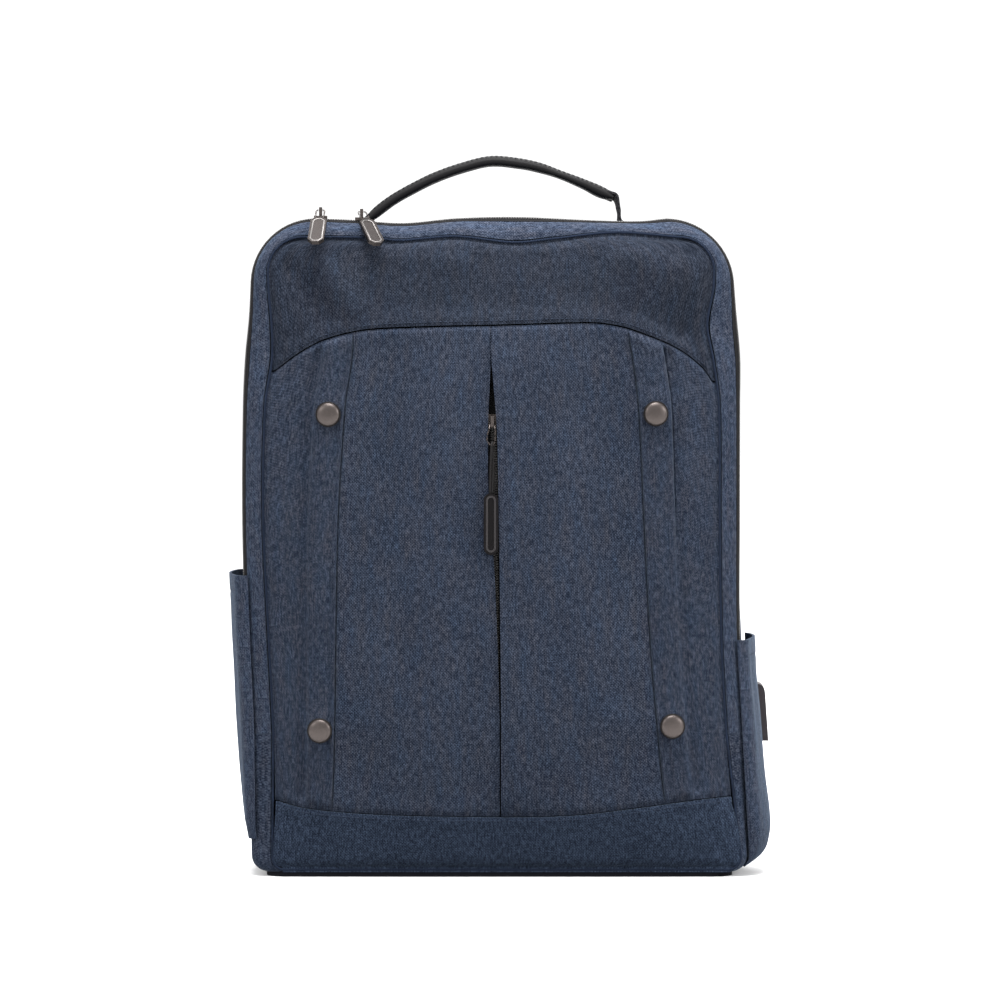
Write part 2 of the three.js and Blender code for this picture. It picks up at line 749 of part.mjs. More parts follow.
function buildFront() {
  const frontTop = (across) => sectionTop(frontSection, across) - frontInset;
  const frontFoot = () => footHeight + frontInset;
  const yokeSeam = (across) => readTable(YOKE_SEAM, 'up', across) * bodyHeight;
  const bandSeam = (across) => readTable(BAND_SEAM, 'up', across) * bodyHeight;
  const over = (seam) => (across) => seam(across) + seamGap / 2;
  const under = (seam) => (across) => seam(across) - seamGap / 2;

  const [leftPleat, rightPleat] = PLEATS;
  const slitEdge = (side) => (z) => acrossAt(readTable(SLIT, side, z / bodyHeight) * halfWidth, z);
  const leftColumns = [
    () => -1,
    () => -0.975,
    () => -0.92,
    (z) => pleatAt(leftPleat, 'outer', z) - pleatFold,
    (z) => pleatAt(leftPleat, 'outer', z) + pleatFold,
    (z) => pleatAt(leftPleat, 'inner', z) - pleatFold,
    (z) => pleatAt(leftPleat, 'inner', z) + pleatFold,
    () => -0.5,
    () => -0.32,
    () => -0.15,
    slitEdge('left'),
  ];
  const leftRelief = (j) => (j === 4 || j === 5 ? pleatHeight : 0);
  addCloth('front_panel_left', frontSheet(leftColumns, over(bandSeam), under(yokeSeam), 11, leftRelief));

  const rightColumns = [
    slitEdge('right'),
    (z) => slitEdge('right')(z) + 0.055,
    () => 0.2,
    () => 0.36,
    () => 0.52,
    (z) => pleatAt(rightPleat, 'inner', z) - pleatFold,
    (z) => pleatAt(rightPleat, 'inner', z) + pleatFold,
    (z) => pleatAt(rightPleat, 'outer', z) - pleatFold,
    (z) => pleatAt(rightPleat, 'outer', z) + pleatFold,
    () => 0.92,
    () => 0.975,
    () => 1,
  ];
  const rightRelief = (j) => {
    if (j === 6 || j === 7) return pleatHeight;
    return j < 2 ? flapHeight : flapHeight * Math.max(0, 1 - j / 5);
  };
  addCloth('front_panel_right', frontSheet(rightColumns, over(bandSeam), under(yokeSeam), 11, rightRelief));

  // The yoke and the band have a column wherever the panels that they meet have one
  const columnsAlong = (seam) => [...leftColumns, ...rightColumns].map((column) => {
    const { across } = meetSeam(column, seam);
    return () => across;
  });
  const flat = () => 0;
  addCloth('yoke_panel', frontSheet(columnsAlong(yokeSeam), over(yokeSeam), frontTop, 5, flat));
  addCloth('base_band', frontSheet(columnsAlong(bandSeam), frontFoot, under(bandSeam), 4, flat));
}

// Thin piped seam round the whole front
function buildPiping() {
  const inset = pipingRadius + gap / 2;
  const rim = sectionRim(frontSection, inset);
  const bottomSteps = 9;
  const first = rim[0];
  const last = rim.at(-1);
  for (let i = 1; i < bottomSteps; i++) {
    rim.push(new THREE.Vector2(lerp(last.x, first.x, i / bottomSteps), footHeight + inset));
  }
  const path = rim.map((point) => new THREE.Vector3(point.x, seamY(point.y), point.y));
  const rings = wireRings(path, pipingRadius, 6, new THREE.Vector3(0, 1, 0), true);
  addPiece('front_piping', loftRings(rings, 'joined'), 0x262a33, 0.9);
}

function gussetPoint(depth, j) {
  const rim = rimAt(clamp(depth, 0, 1));
  const point = rim[clamp(j, 0, rim.length - 1)];
  return new THREE.Vector3(point.x, depthY(depth, point.y), point.y);
}

function gussetNormal(depth, j) {
  const small = 0.002;
  const backwards = gussetPoint(depth + small, j).sub(gussetPoint(depth - small, j));
  const onwards = gussetPoint(depth, j + 1).sub(gussetPoint(depth, j - 1));
  const normal = backwards.cross(onwards).normalize();
  return gussetPoint(depth, j).sub(bodyCentre).dot(normal) < 0 ? normal.negate() : normal;
}

// A strip of the gusset between depths that may differ from row to row, each row counted up from either foot
function gussetStrip(depths, wall, firstRow = 0) {
  const count = rimAt(0).length;
  const outer = [];
  const inner = [];
  for (const depthOf of depths) {
    const outerRow = [];
    const innerRow = [];
    for (let j = firstRow; j < count - firstRow; j++) {
      const depth = depthOf(Math.min(j, count - 1 - j));
      const point = gussetPoint(depth, j);
      outerRow.push(point);
      innerRow.push(point.clone().addScaledVector(gussetNormal(depth, j), -wall));
    }
    outer.push(outerRow);
    inner.push(innerRow);
  }
  return sheetSolid(outer, inner);
}

// The gussets and the main zip between them
function buildGussets() {
  const start = (pipingRadius + gap) / bodyDepth;
  const zipFront = zipShare - zipHalfShare;
  const zipBack = zipShare + zipHalfShare;
  const frontEnd = (row) => (row >= rimZipEndRow ? zipFront : zipBack) - gapShare;
  const between = (share) => (row) => lerp(start, frontEnd(row), share);
  addCloth('front_gusset', gussetStrip([between(0), between(0.34), between(0.67), between(1)], clothWall));
  const tapeDepths = [zipFront, zipShare, zipBack].map((depth) => () => depth);
  addPiece('main_zip', gussetStrip(tapeDepths, zipWall, rimZipEndRow + 1), zipBlack, 0.8);
  const rearDepths = [zipBack + gapShare, 0.3, 0.5, 0.7, 0.85, 1].map((depth) => () => depth);
  addCloth('rear_gusset', gussetStrip(rearDepths, clothWall));
}

// Outside of the back panel at a place across and height. Its padding thins towards the seam
function backY(x, z) {
  const half = sectionHalfWidth(backSection, x < 0 ? 'left' : 'right', z, backInset);
  const across = clamp(x / half, -1, 1);
  const top = backSection.top * bodyHeight;
  const up = clamp(2 * ((z - footHeight) / (top - footHeight)) - 1, -1, 1);
  const swell = backCrown * (1 - across ** 4) * (1 - up ** 4);
  return bodyDepth / 2 + gap + backPadding * (backEdgeShare + (1 - backEdgeShare) * (1 - across ** 6)) + swell;
}

// Padded back panel inside the back seam
function buildBack() {
  const columns = 8;
  const y = bodyDepth / 2 + gap;
  const outer = [];
  const inner = [];
  for (const z of rimHeights(backSection, backInset)) {
    const xs = Array.from({ length: columns + 1 }, (_, j) => {
      const across = lerp(-1, 1, j / columns);
      return across * sectionHalfWidth(backSection, across < 0 ? 'left' : 'right', z, backInset);
    });
    outer.push(xs.map((x) => new THREE.Vector3(x, backY(x, z), z)));
    inner.push(xs.map((x) => new THREE.Vector3(x, y, z)));
  }
  addPiece('back_panel', sheetSolid(outer, inner), 0x1f2126, 0.95);
}

function buildBase() {
  const left = -sectionHalfWidth(SECTIONS[1], 'left', footHeight) - baseMargin;
  const right = sectionHalfWidth(SECTIONS[1], 'right', footHeight) + baseMargin;
  const front = seamY(0) + pipingRadius;
  const back = bodyDepth / 2;
  const radius = baseCorner;
  const outline = new THREE.Shape();
  outline.moveTo(left + radius, front);
  outline.lineTo(right - radius, front);
  outline.absarc(right - radius, front + radius, radius, -Math.PI / 2, 0);
  outline.lineTo(right, back - radius);
  outline.absarc(right - radius, back - radius, radius, 0, Math.PI / 2);
  outline.lineTo(left + radius, back);
  outline.absarc(left + radius, back - radius, radius, Math.PI / 2, Math.PI);
  outline.lineTo(left, front + radius);
  outline.absarc(left + radius, front + radius, radius, Math.PI, Math.PI * 1.5);
  const plate = new THREE.ExtrudeGeometry(outline, { depth: baseThickness, bevelEnabled: false, curveSegments: 5 });
  addPiece('base_panel', plate, 0x1b1c21, 0.9);
}

function sidePoint(depth, side, z) {
  const sign = side === 'left' ? -1 : 1;
  return new THREE.Vector3(sign * sideAt(depth, side, z), depthY(depth, z), z);
}

// Level direction out of the gusset on one side
function sideNormal(depth, side, z) {
  const small = 0.01;
  const run = sidePoint(depth + small, side, z).sub(sidePoint(depth - small, side, z));
  const normal = new THREE.Vector3(run.y, -run.x, 0).normalize();
  return normal.x * (side === 'left' ? -1 : 1) < 0 ? normal.negate() : normal;
}

// Side pocket, sewn to the gusset at its front, back and foot and open at the top
function buildPocket(side, foot, top, greatest, table) {
  const ups = [0, 0.025, 0.05, 0.08, 0.12, 0.2, 0.35, 0.52, 0.68, 0.84, 1];
  const alongs = [0, 0.03, 0.07, 0.14, 0.28, 0.46, 0.66, 0.84, 0.94, 1];
  const outer = [];
  const inner = [];
  for (const up of ups) {
    const z = lerp(foot, top, up);
    const swell = readTable(table, 'swell', up) * greatest;
    const at = (off) => alongs.map((along) => {
      const depth = lerp(pocketFrontDepth, pocketBackDepth, along);
      const away = off + swell * Math.sin(Math.PI * along) ** 0.5;
      return sidePoint(depth, side, z).addScaledVector(sideNormal(depth, side, z), away);
    });
    outer.push(at(pocketWall + gap * 2));
    inner.push(at(gap * 2));
  }
  addCloth(`side_pocket_${side}`, sheetSolid(outer, inner));
}

// Cable port with a socket that opens downwards, on the right gusset behind the pocket
function buildPort() {
  const reach = portWidth / 2 / bodyDepth;
  const touched = [-1, -0.5, 0, 0.5, 1].flatMap((end) => [0, 0.5, 1].map((down) => (
    sideAt(portDepth + end * reach, 'right', portTop - down * portHeight))));
  const seat = Math.max(...touched) + gap;
  const y = depthY(portDepth, portTop);
  const profile = new THREE.Shape();
  profile.moveTo(seat, portTop - portHeight);
  profile.lineTo(seat + portThickness, portTop - portHeight);
  profile.lineTo(seat + portThickness - portLean, portTop - portCrown);
  profile.quadraticCurveTo(seat + portThickness - portLean, portTop, seat + portThickness - portCrown, portTop);
  profile.lineTo(seat, portTop);
  const housing = plateFacingFront(profile, portWidth, y - portWidth / 2);
  const socketX = seat + portThickness / 2;
  const socket = block(socketThickness, socketWidth, socketDeep * 2, socketX, y, portTop - portHeight);
  addPiece('cable_port', cutFrom(housing, socket), 0x2b282c, 0.6);
}

function buildSnaps() {
  const cap = SNAP_DOME.map(({ out, up }) => new THREE.Vector2(out * snapRadius, up * snapHeight));
  for (const { name, pleat, up } of SNAPS) {
    const z = up * bodyHeight;
    const across = (pleatAt(pleat, 'inner', z) + pleatAt(pleat, 'outer', z)) / 2;
    const normal = frontNormal(across, z);
    const seat = frontPoint(across, z).addScaledVector(normal, pleatHeight + gap);
    const geometry = new THREE.LatheGeometry(cap, 18);
    const turn = new THREE.Quaternion().setFromUnitVectors(new THREE.Vector3(0, 1, 0), normal);
    const piece = addPiece(name, geometry, gunmetal, 0.35, 0.9);
    piece.quaternion.copy(turn);
    piece.position.copy(seat);
  }
}

// Zip slider: a plate with an arched bridge over it whose eye runs along X
function sliderGeometry(alongX, alongY) {
  const plate = block(alongX, alongY, sliderPlate, 0, 0, sliderPlate / 2);
  const archHeight = sliderEyeHeight + sliderArchWall;
  const archSpan = alongY * 0.8;
  const top = sliderPlate + archHeight;
  const archReach = archHeight + sliderPlate / 2;
  const arch = block(sliderArchWidth, archSpan, archReach, 0, 0, top - archReach / 2);
  const eye = block(sliderArchWidth * 2, archSpan - sliderArchWall * 2, sliderEyeHeight, 0, 0,
    sliderPlate + sliderEyeHeight / 2);
  return cutFrom(joined(plate, arch), eye);
}

function octagon(width, length) {
  const shape = new THREE.Shape();
  const w = width / 2;
  const cut = width * tabCornerCut;
  shape.moveTo(-w + cut, 0);
  shape.lineTo(w - cut, 0);
  shape.lineTo(w, -cut);
  shape.lineTo(w, -length + cut);
  shape.lineTo(w - cut, -length);
  shape.lineTo(-w + cut, -length);
  shape.lineTo(-w, -length + cut);
  shape.lineTo(-w, -cut);
  return shape;
}

// Wire link through the slider's eye, with the metal tab on its two legs. It hangs down along -Z before it is turned
function buildPull(side, x, turn) {
  const seat = Math.max(...[-1, 0, 1].map((end) => topAt(zipShare, x + (end * sliderLength) / 2)));
  const slider = addPiece(`zip_slider_${side}`, sliderGeometry(sliderLength, sliderWidth), gunmetal, 0.35, 0.9);
  const y = depthY(zipShare, seat);
  slider.position.set(x, y, seat + gap);

  const pull = new THREE.Group();
  pull.position.set(x, y, seat + gap + sliderPlate + sliderEyeHeight - wireRadius - gap);
  pull.rotation.set(-(Math.PI / 2 - pullHang), 0, turn, 'ZXY');
  backpack.add(pull);

  const w = linkWidth / 2;
  const bend = 1.2;
  const corners = [
    [-w, -linkLength], [-w, -linkLength * 0.5], [-w, -bend], [-w + bend * 0.3, -bend * 0.3], [-w + bend, 0],
    [w - bend, 0], [w - bend * 0.3, -bend * 0.3], [w, -bend], [w, -linkLength * 0.5], [w, -linkLength],
  ].map(([along, down]) => new THREE.Vector3(along, 0, down));
  const link = loftRings(wireRings(corners, wireRadius, 6, new THREE.Vector3(0, 1, 0), false), 'round');
  addPiece(`pull_link_${side}`, link, gunmetal, 0.35, 0.9, pull);

  const body = plateFacingFront(octagon(tabWidth, tabLength), tabThickness, -tabThickness / 2);
  const inner = octagon(tabWidth - tabRim * 2, tabLength - tabRim * 2);
  const recess = plateFacingFront(inner, recessDepth * 2, -tabThickness / 2 - recessDepth).translate(0, 0, -tabRim);
  const tab = cutFrom(body, recess).translate(0, 0, -linkLength - gap);
  addPiece(`pull_tab_${side}`, tab, gunmetal, 0.35, 0.9, pull);
}

// Middle of the slit at the centre slider
function slitMiddle() {
  const up = centreSliderHeight / bodyHeight;
  return ((readTable(SLIT, 'left', up) + readTable(SLIT, 'right', up)) / 2) * halfWidth;
}

// Where the ring's foot lies on the front
function ringFootPoint() {
  const z = centreSliderHeight - ringLength;
  return offFront(acrossAt(slitMiddle(), z), z, wireRadius * 2 + gap * 3);
}

// Centre zip behind the slit, with its slider and wire ring

function buildCentrePuller() {
  const tapeOff = -(clothWall + centreZipRecess);
  const low = readTable(BAND_SEAM, 'up', 0) * bodyHeight;
  const high = readTable(YOKE_SEAM, 'up', 0) * bodyHeight;
  const tapeHalf = centreZipWidth / 2 / halfWidth;
  const rows = 10;
  const tape = [];
  for (let i = 0; i <= rows; i++) {
    const z = lerp(low, high, i / rows);
    const mid = acrossAt(readTable(SLIT, 'right', z / bodyHeight) * halfWidth * 0.5, z);
    tape.push([-1, 0, 1].map((end) => offFront(mid + end * tapeHalf, z, tapeOff)));
  }
  addPiece('centre_zip', wallSolid(tape, zipWall), zipBlack, 0.8);

  const z = centreSliderHeight;
  const seat = offFront(acrossAt(slitMiddle(), z), z, tapeOff + gap);
  const slider = addPiece('centre_slider', sliderGeometry(sliderWidth, sliderLength), gunmetal, 0.35, 0.9);
  slider.rotation.x = Math.PI / 2;
  slider.position.copy(seat);

  const eye = seat.clone().add(new THREE.Vector3(0, -(sliderPlate + sliderEyeHeight / 2), 0));
  const foot = ringFootPoint();
  const ring = RING.map(({ side, forward, up }) => new THREE.Vector3(
    eye.x + side * ringWidth, lerp(eye.y, foot.y, forward), eye.z + up * ringLength));
  const ringPlane = new THREE.Vector3(0.15, 1, 0.1);
  addPiece('puller_ring', loftRings(wireRings(ring, wireRadius, 6, ringPlane, true), 'joined'), gunmetal, 0.35, 0.9);
}

// Cord loop over the ring, with the rubber grip on its two ends
function buildGrip() {
  const ringFoot = ringFootPoint();
  const lift = gripThickness / 2 + gap * 2;
  const grip = new THREE.Group();
  const topFace = offFront(0, gripTop, lift);
  grip.position.copy(topFace);
  backpack.add(grip);
  const shape = (width, length) => {
    const radius = width / 2;
    const outline = new THREE.Shape();
    outline.absarc(0, -radius, radius, 0, Math.PI);
    outline.absarc(0, -length + radius, radius, Math.PI, Math.PI * 2);
    return outline;
  };
  const body = plateFacingFront(shape(gripWidth, gripLength), gripThickness, -gripThickness / 2);
  const inner = shape(gripWidth - gripRim * 2, gripLength - gripRim * 2);
  const recess = plateFacingFront(inner, recessDepth * 2, -gripThickness / 2 - recessDepth).translate(0, 0, -gripRim);
  addPiece('puller_grip', cutFrom(body, recess), 0x242023, 0.75, 0, grip);

  const spacing = (pullerCordRadius + gap) * 0.6;
  const over = wireRadius + pullerCordRadius + gap;
  const side = (sign) => STRAND.map(({ up, apart, forward }) => new THREE.Vector3(
    lerp(topFace.x, ringFoot.x, up) + sign * apart * spacing,
    lerp(topFace.y, ringFoot.y, up) + sign * lerp(gap, over, forward),
    lerp(topFace.z + gap, ringFoot.z, up)));
  const crest = new THREE.Vector3(ringFoot.x, ringFoot.y, ringFoot.z + over);
  const route = [...side(-1), crest, ...side(1).reverse()];
  const path = smoothPath(route, 24);
  const loopPlane = new THREE.Vector3(1, 0.35, 0);
  addPiece('puller_cord', loftRings(wireRings(path, pullerCordRadius, 8, loopPlane, false), 'round'), 0x1a191b, 0.9);
}

// Handle: a padded grip between two flat straps that are sewn down on the top of the bag
function buildHandle() {
  const y = depthY(handleDepth, bodyHeight);
  const seat = topAt(handleDepth, 0);
  const across = new THREE.Vector3(0, 1, 0);
  const steps = 18;
  const path = [];
  const thicknesses = [];
  const widths = [];
  const start = HANDLE_LINE[0].along;
  const end = HANDLE_LINE.at(-1).along;
  for (let i = 0; i <= steps; i++) {
    const along = lerp(start, end, i / steps);
    path.push(new THREE.Vector3(along * handleHalfSpan, y, seat + readTable(HANDLE_LINE, 'rise', along) * handleRise));
    thicknesses.push(readTable(HANDLE_LINE, 'thick', along) * handleThickness);
    widths.push(handleWidth);
  }
  const rings = paddedRings(path, path.map(() => across), widths, thicknesses);
  addPiece('handle_grip', loftRings(rings, 'round'), 0x1b1a1c, 0.6);

  for (const [side, sign, last] of [['left', -1, path[0]], ['right', 1, path.at(-1)]]) {
    const run = (sign < 0 ? path[0].clone().sub(path[1]) : path.at(-1).clone().sub(path.at(-2))).normalize();
    const from = last.clone().addScaledVector(run, gap * 2);
    const footX = sign * (Math.abs(last.x) + 4.5);
    const lie = (x) => topAt(handleDepth, x) + handleStrapWall / 2 + gap * 4;
    const drop = from.z - lie(footX);
    const route = [
      from,
      from.clone().addScaledVector(run, handleStrapWall),
      new THREE.Vector3(lerp(from.x, footX, 0.85), y, from.z - drop * 0.55),
      new THREE.Vector3(footX, y, from.z - drop * 0.85),
      new THREE.Vector3(footX + sign * 3, y, lie(footX + sign * 3) + 0.6),
      new THREE.Vector3(footX + sign * handleTabLength * 0.6, y, lie(footX + sign * handleTabLength * 0.6)),
      new THREE.Vector3(footX + sign * handleTabLength, y, lie(footX + sign * handleTabLength)),
    ];
    const strap = smoothPath(route, 14);
    const wide = strap.map(() => handleWidth * 0.85);
    const reach = (handleWidth * 0.4) / bodyDepth;
    const slope = topAt(handleDepth + reach, footX) - topAt(handleDepth - reach, footX);
    const lying = new THREE.Vector3(0, reach * 2 * bodyDepth, slope).normalize();
    addPiece(`handle_strap_${side}`, loftRings(strapRings(strap, strap.map(() => lying), wide,
      strap.map(() => handleStrapWall)), 'round'), 0x1c1b1d, 0.8);
  }
}

// Padded shoulder strap, ladder buckle, webbing and corner tab of one side
function buildShoulder(side, sign) {
  const across = new THREE.Vector3(1, 0, 0);
  const steps = 14;
  const path = [];
  const widths = [];
  const thicknesses = [];
  for (let i = 0; i <= steps; i++) {
    const down = i / steps;
    const x = sign * lerp(strapTopPlace, strapEndPlace, readTable(STRAP_LINE, 'across', down));
    const z = lerp(strapTopHeight, strapEndHeight, down);
    const lie = strapThickness / 2 + gap * 4;
    path.push(new THREE.Vector3(x, backY(x, z) + lie + readTable(STRAP_LINE, 'off', down) * strapStandOff, z));
    widths.push(readTable(STRAP_LINE, 'width', down) * strapWidth);
    thicknesses.push(strapThickness * (down < 0.99 ? 1 : 0.7));
  }
  const strapShape = paddedRings(path, path.map(() => across), widths, thicknesses);
  addPiece(`shoulder_strap_${side}`, loftRings(strapShape, 'round'), 0x22242a, 0.9);

  // Ladder buckle: a frame with one bar across it, in line with the strap's end
  const end = path.at(-1);
  const y = end.y;
  const buckleTop = end.z - buckleBar * 1.9;
  const frame = block(buckleWidth, buckleThickness, buckleLength, end.x, y, buckleTop - buckleLength / 2);
  const window = (buckleLength - buckleBar * 3) / 2;
  const hole = (z) => block(webbingWidth + 4, buckleThickness * 2, window, end.x, y, z);
  const middleBar = buckleTop - buckleBar - window - buckleBar / 2;
  const highHole = hole(buckleTop - buckleBar - window / 2);
  const lowHole = hole(middleBar - buckleBar / 2 - window / 2);
  addPiece(`strap_buckle_${side}`, cutFrom(frame, highHole, lowHole), 0x1a1a1c, 0.5);

  const sheet = (name, points, stepCount, color) => {
    const route = smoothPath(points.map(([x, dy, z]) => new THREE.Vector3(x, y + dy, z)), stepCount);
    const rings = strapRings(route, route.map(() => across), route.map(() => webbingWidth), route.map(() => webbingWall));
    addPiece(name, loftRings(rings, 'round'), color, 0.85);
  };
  const clear = buckleThickness / 2 + webbingWall / 2 + gap * 3;
  const barFoot = buckleTop - buckleBar - webbingWall / 2 - gap * 3;
  const hang = end.z - gap * 2 - webbingWall / 2;
  sheet(`strap_loop_${side}`, [
    [end.x, clear, hang], [end.x, clear, buckleTop - buckleBar * 0.6], [end.x, clear * 0.55, barFoot + 0.3],
    [end.x, 0, barFoot], [end.x, -clear * 0.55, barFoot + 0.3], [end.x, -clear, buckleTop - buckleBar * 0.6],
    [end.x, -clear, hang],
  ], 16, 0x17171a);

  // Webbing: from the corner tab up behind the buckle's foot, over its middle bar and down as a free tail
  const tabX = sign * cornerTabPlace;
  const tabSeat = backY(tabX * 0.9, cornerTabHeight) + gap;
  const tabWall = webbingWall * 1.5;
  const tabY = tabSeat + tabWall + webbingWall / 2 + gap * 2 - y;
  const barTop = middleBar + buckleBar / 2 + webbingWall / 2 + gap * 4;
  const footBar = buckleTop - buckleLength;
  sheet(`strap_webbing_${side}`, [
    [tabX + sign * 2, tabY, cornerTabHeight - 4],
    [tabX, tabY, cornerTabHeight + 4],
    [lerp(tabX, end.x, 0.3), lerp(tabY, -clear, 0.35), lerp(cornerTabHeight, footBar, 0.35)],
    [lerp(tabX, end.x, 0.75), lerp(tabY, -clear, 0.85), lerp(cornerTabHeight, footBar, 0.75)],
    [end.x, -clear, footBar],
    [end.x, -clear, middleBar + buckleBar * 0.2],
    [end.x, -clear * 0.75, barTop - webbingWall * 0.4],
    [end.x, 0, barTop + webbingWall * 0.2],
    [end.x, clear * 0.75, barTop - webbingWall * 0.4],
    [end.x, clear, middleBar + buckleBar * 0.2],
    [end.x, clear * 1.05, footBar],
    [end.x, clear * 1.3, footBar - webbingTail],
  ], 44, 0x17171a);

  // Corner tab: a folded triangle of cloth sewn into the foot of the back seam
  const triangle = new THREE.Shape();
  triangle.moveTo(-sign * webbingWidth * 0.6, 0);
  triangle.lineTo(sign * webbingWidth * 0.6, 0);
  triangle.lineTo(sign * webbingWidth * 0.9, -cornerTabHeight * 0.75);
  triangle.lineTo(-sign * webbingWidth * 0.2, -cornerTabHeight * 0.75);
  const tab = addPiece(`corner_tab_${side}`, plateFacingFront(triangle, tabWall, 0), 0x1d1f24, 0.95);
  tab.position.set(tabX, tabSeat, cornerTabHeight * 1.2);
}

buildFront();
buildPiping();
buildGussets();
buildBack();
buildBase();
buildPocket('left', leftPocketFoot, leftPocketTop, leftPocketSwell, LEFT_POCKET);
buildPocket('right', rightPocketFoot, rightPocketTop, rightPocketSwell, RIGHT_POCKET);
buildPort();
buildSnaps();
buildPull('left', leftSliderPlace, leftPullTurn);
buildPull('right', rightSliderPlace, rightPullTurn);
buildCentrePuller();
buildGrip();
buildHandle();
buildShoulder('left', -1);
buildShoulder('right', 1);

export default backpack;
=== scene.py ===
"""A laptop backpack, standing on a pale floor, modelled over its CAD frame.

Every surface function works in millimetres, in the frame of the CAD. Meshes are written in metres.
"""

import math

import bmesh
import bpy
from bpy.props import FloatProperty, FloatVectorProperty, PointerProperty
from mathutils import Matrix, Vector, noise


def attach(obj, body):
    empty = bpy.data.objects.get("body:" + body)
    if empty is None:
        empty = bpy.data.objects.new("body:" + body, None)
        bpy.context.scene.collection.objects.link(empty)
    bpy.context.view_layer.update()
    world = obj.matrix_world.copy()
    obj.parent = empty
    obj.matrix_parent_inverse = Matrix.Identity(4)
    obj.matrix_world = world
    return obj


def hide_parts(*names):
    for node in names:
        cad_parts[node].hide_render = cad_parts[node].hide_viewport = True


bl_info = {
    "name": "Laptop Backpack",
    "version": (1, 0, 0),
    "blender": (4, 5, 0),
    "location": "View3D > Sidebar > Backpack",
    "description": "Builds a cloth laptop backpack with its zips, pockets, handle and straps",
    "category": "Add Mesh",
}

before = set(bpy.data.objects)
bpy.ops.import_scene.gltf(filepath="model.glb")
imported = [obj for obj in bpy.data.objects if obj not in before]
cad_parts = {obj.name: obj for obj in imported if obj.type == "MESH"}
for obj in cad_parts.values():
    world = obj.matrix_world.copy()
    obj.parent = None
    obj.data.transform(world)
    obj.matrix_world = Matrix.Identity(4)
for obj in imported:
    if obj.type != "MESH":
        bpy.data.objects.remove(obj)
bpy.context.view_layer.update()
BAG = "bag"
MM = 0.001

# Sizes shared with the CAD, in millimetres
BODY_WIDTH = 316
BODY_HEIGHT = 418
BODY_DEPTH = 116
FRONT_CROWN = 13
BACK_CROWN = 4
CLOTH_WALL = 2
BACK_PADDING = 8
BACK_EDGE_SHARE = 0.4
BASE_THICKNESS = 3
GAP = 0.3
SEAM_GAP = 0.6
PIPING_RADIUS = 1.1
ZIP_SETBACK = 11
ZIP_WIDTH = 8
ZIP_WALL = 1.4
ZIP_END_HEIGHT = 92
PLEAT_HEIGHT = 1.4
FLAP_HEIGHT = 1.6
CENTRE_ZIP_WIDTH = 26
CENTRE_ZIP_RECESS = 5
SNAP_RADIUS = 8
SNAP_HEIGHT = 3.4
POCKET_WALL = 1.6
POCKET_FRONT_DEPTH = 0.045
POCKET_BACK_DEPTH = 0.6
CENTRE_SLIDER_HEIGHT = 291
RING_LENGTH = 15
WIRE_RADIUS = 0.6
CORD_RADIUS = 0.65
GRIP_TOP = 245.5
GRIP_THICKNESS = 3
HANDLE_HALF_SPAN = 80
HANDLE_RISE = 46.5
HANDLE_WIDTH = 24
HANDLE_THICKNESS = 7
HANDLE_DEPTH = 0.8
HANDLE_STRAP_WALL = 2.2
HANDLE_TAB_LENGTH = 16
STRAP_WIDTH = 62
STRAP_THICKNESS = 9
STRAP_TOP_HEIGHT = 388
STRAP_END_HEIGHT = 132
STRAP_TOP_PLACE = 44
STRAP_END_PLACE = 86
STRAP_STAND_OFF = 13
WEBBING_WIDTH = 20
WEBBING_WALL = 1.6
BUCKLE_LENGTH = 27
BUCKLE_THICKNESS = 3.4
BUCKLE_BAR = 3.6
WEBBING_TAIL = 62
CORNER_TAB_HEIGHT = 30
CORNER_TAB_PLACE = 118

HALF_WIDTH = BODY_WIDTH / 2
FOOT_HEIGHT = BASE_THICKNESS + GAP
ZIP_SHARE = ZIP_SETBACK / BODY_DEPTH
ZIP_HALF_SHARE = ZIP_WIDTH / 2 / BODY_DEPTH
GAP_SHARE = GAP / BODY_DEPTH
FRONT_INSET = PIPING_RADIUS * 2 + GAP * 3
BACK_INSET = GAP * 2
BODY_CENTRE = Vector((0, 0, BODY_HEIGHT / 2))

# Half widths left and right of the middle, as shares of half the body's width. up is a share of its height
FRONT_EDGE = [
    {"up": 0.0, "left": 0.889, "right": 1.01},
    {"up": 0.06, "left": 0.885, "right": 1.012},
    {"up": 0.12, "left": 0.876, "right": 0.976},
    {"up": 0.245, "left": 0.885, "right": 0.949},
    {"up": 0.37, "left": 0.901, "right": 0.932},
    {"up": 0.55, "left": 0.921, "right": 0.925},
    {"up": 0.72, "left": 0.912, "right": 0.921},
    {"up": 0.79, "left": 0.885, "right": 0.897},
    {"up": 0.84, "left": 0.887, "right": 0.874},
    {"up": 0.9, "left": 0.9, "right": 0.9},
    {"up": 1.0, "left": 0.9, "right": 0.9},
]

RIDGE_EDGE = [
    {"up": 0.0, "left": 0.962, "right": 1.03},
    {"up": 0.12, "left": 0.965, "right": 1.035},
    {"up": 0.245, "left": 0.975, "right": 1.02},
    {"up": 0.37, "left": 0.988, "right": 1.0},
    {"up": 0.55, "left": 0.998, "right": 0.998},
    {"up": 0.72, "left": 0.994, "right": 0.998},
    {"up": 0.79, "left": 0.985, "right": 0.998},
    {"up": 0.86, "left": 0.968, "right": 0.982},
    {"up": 1.0, "left": 0.955, "right": 0.955},
]

MIDDLE_EDGE = [
    {"up": 0.0, "left": 0.96, "right": 1.02},
    {"up": 0.25, "left": 0.985, "right": 1.03},
    {"up": 0.55, "left": 0.995, "right": 0.995},
    {"up": 0.8, "left": 0.975, "right": 0.985},
    {"up": 1.0, "left": 0.94, "right": 0.94},
]

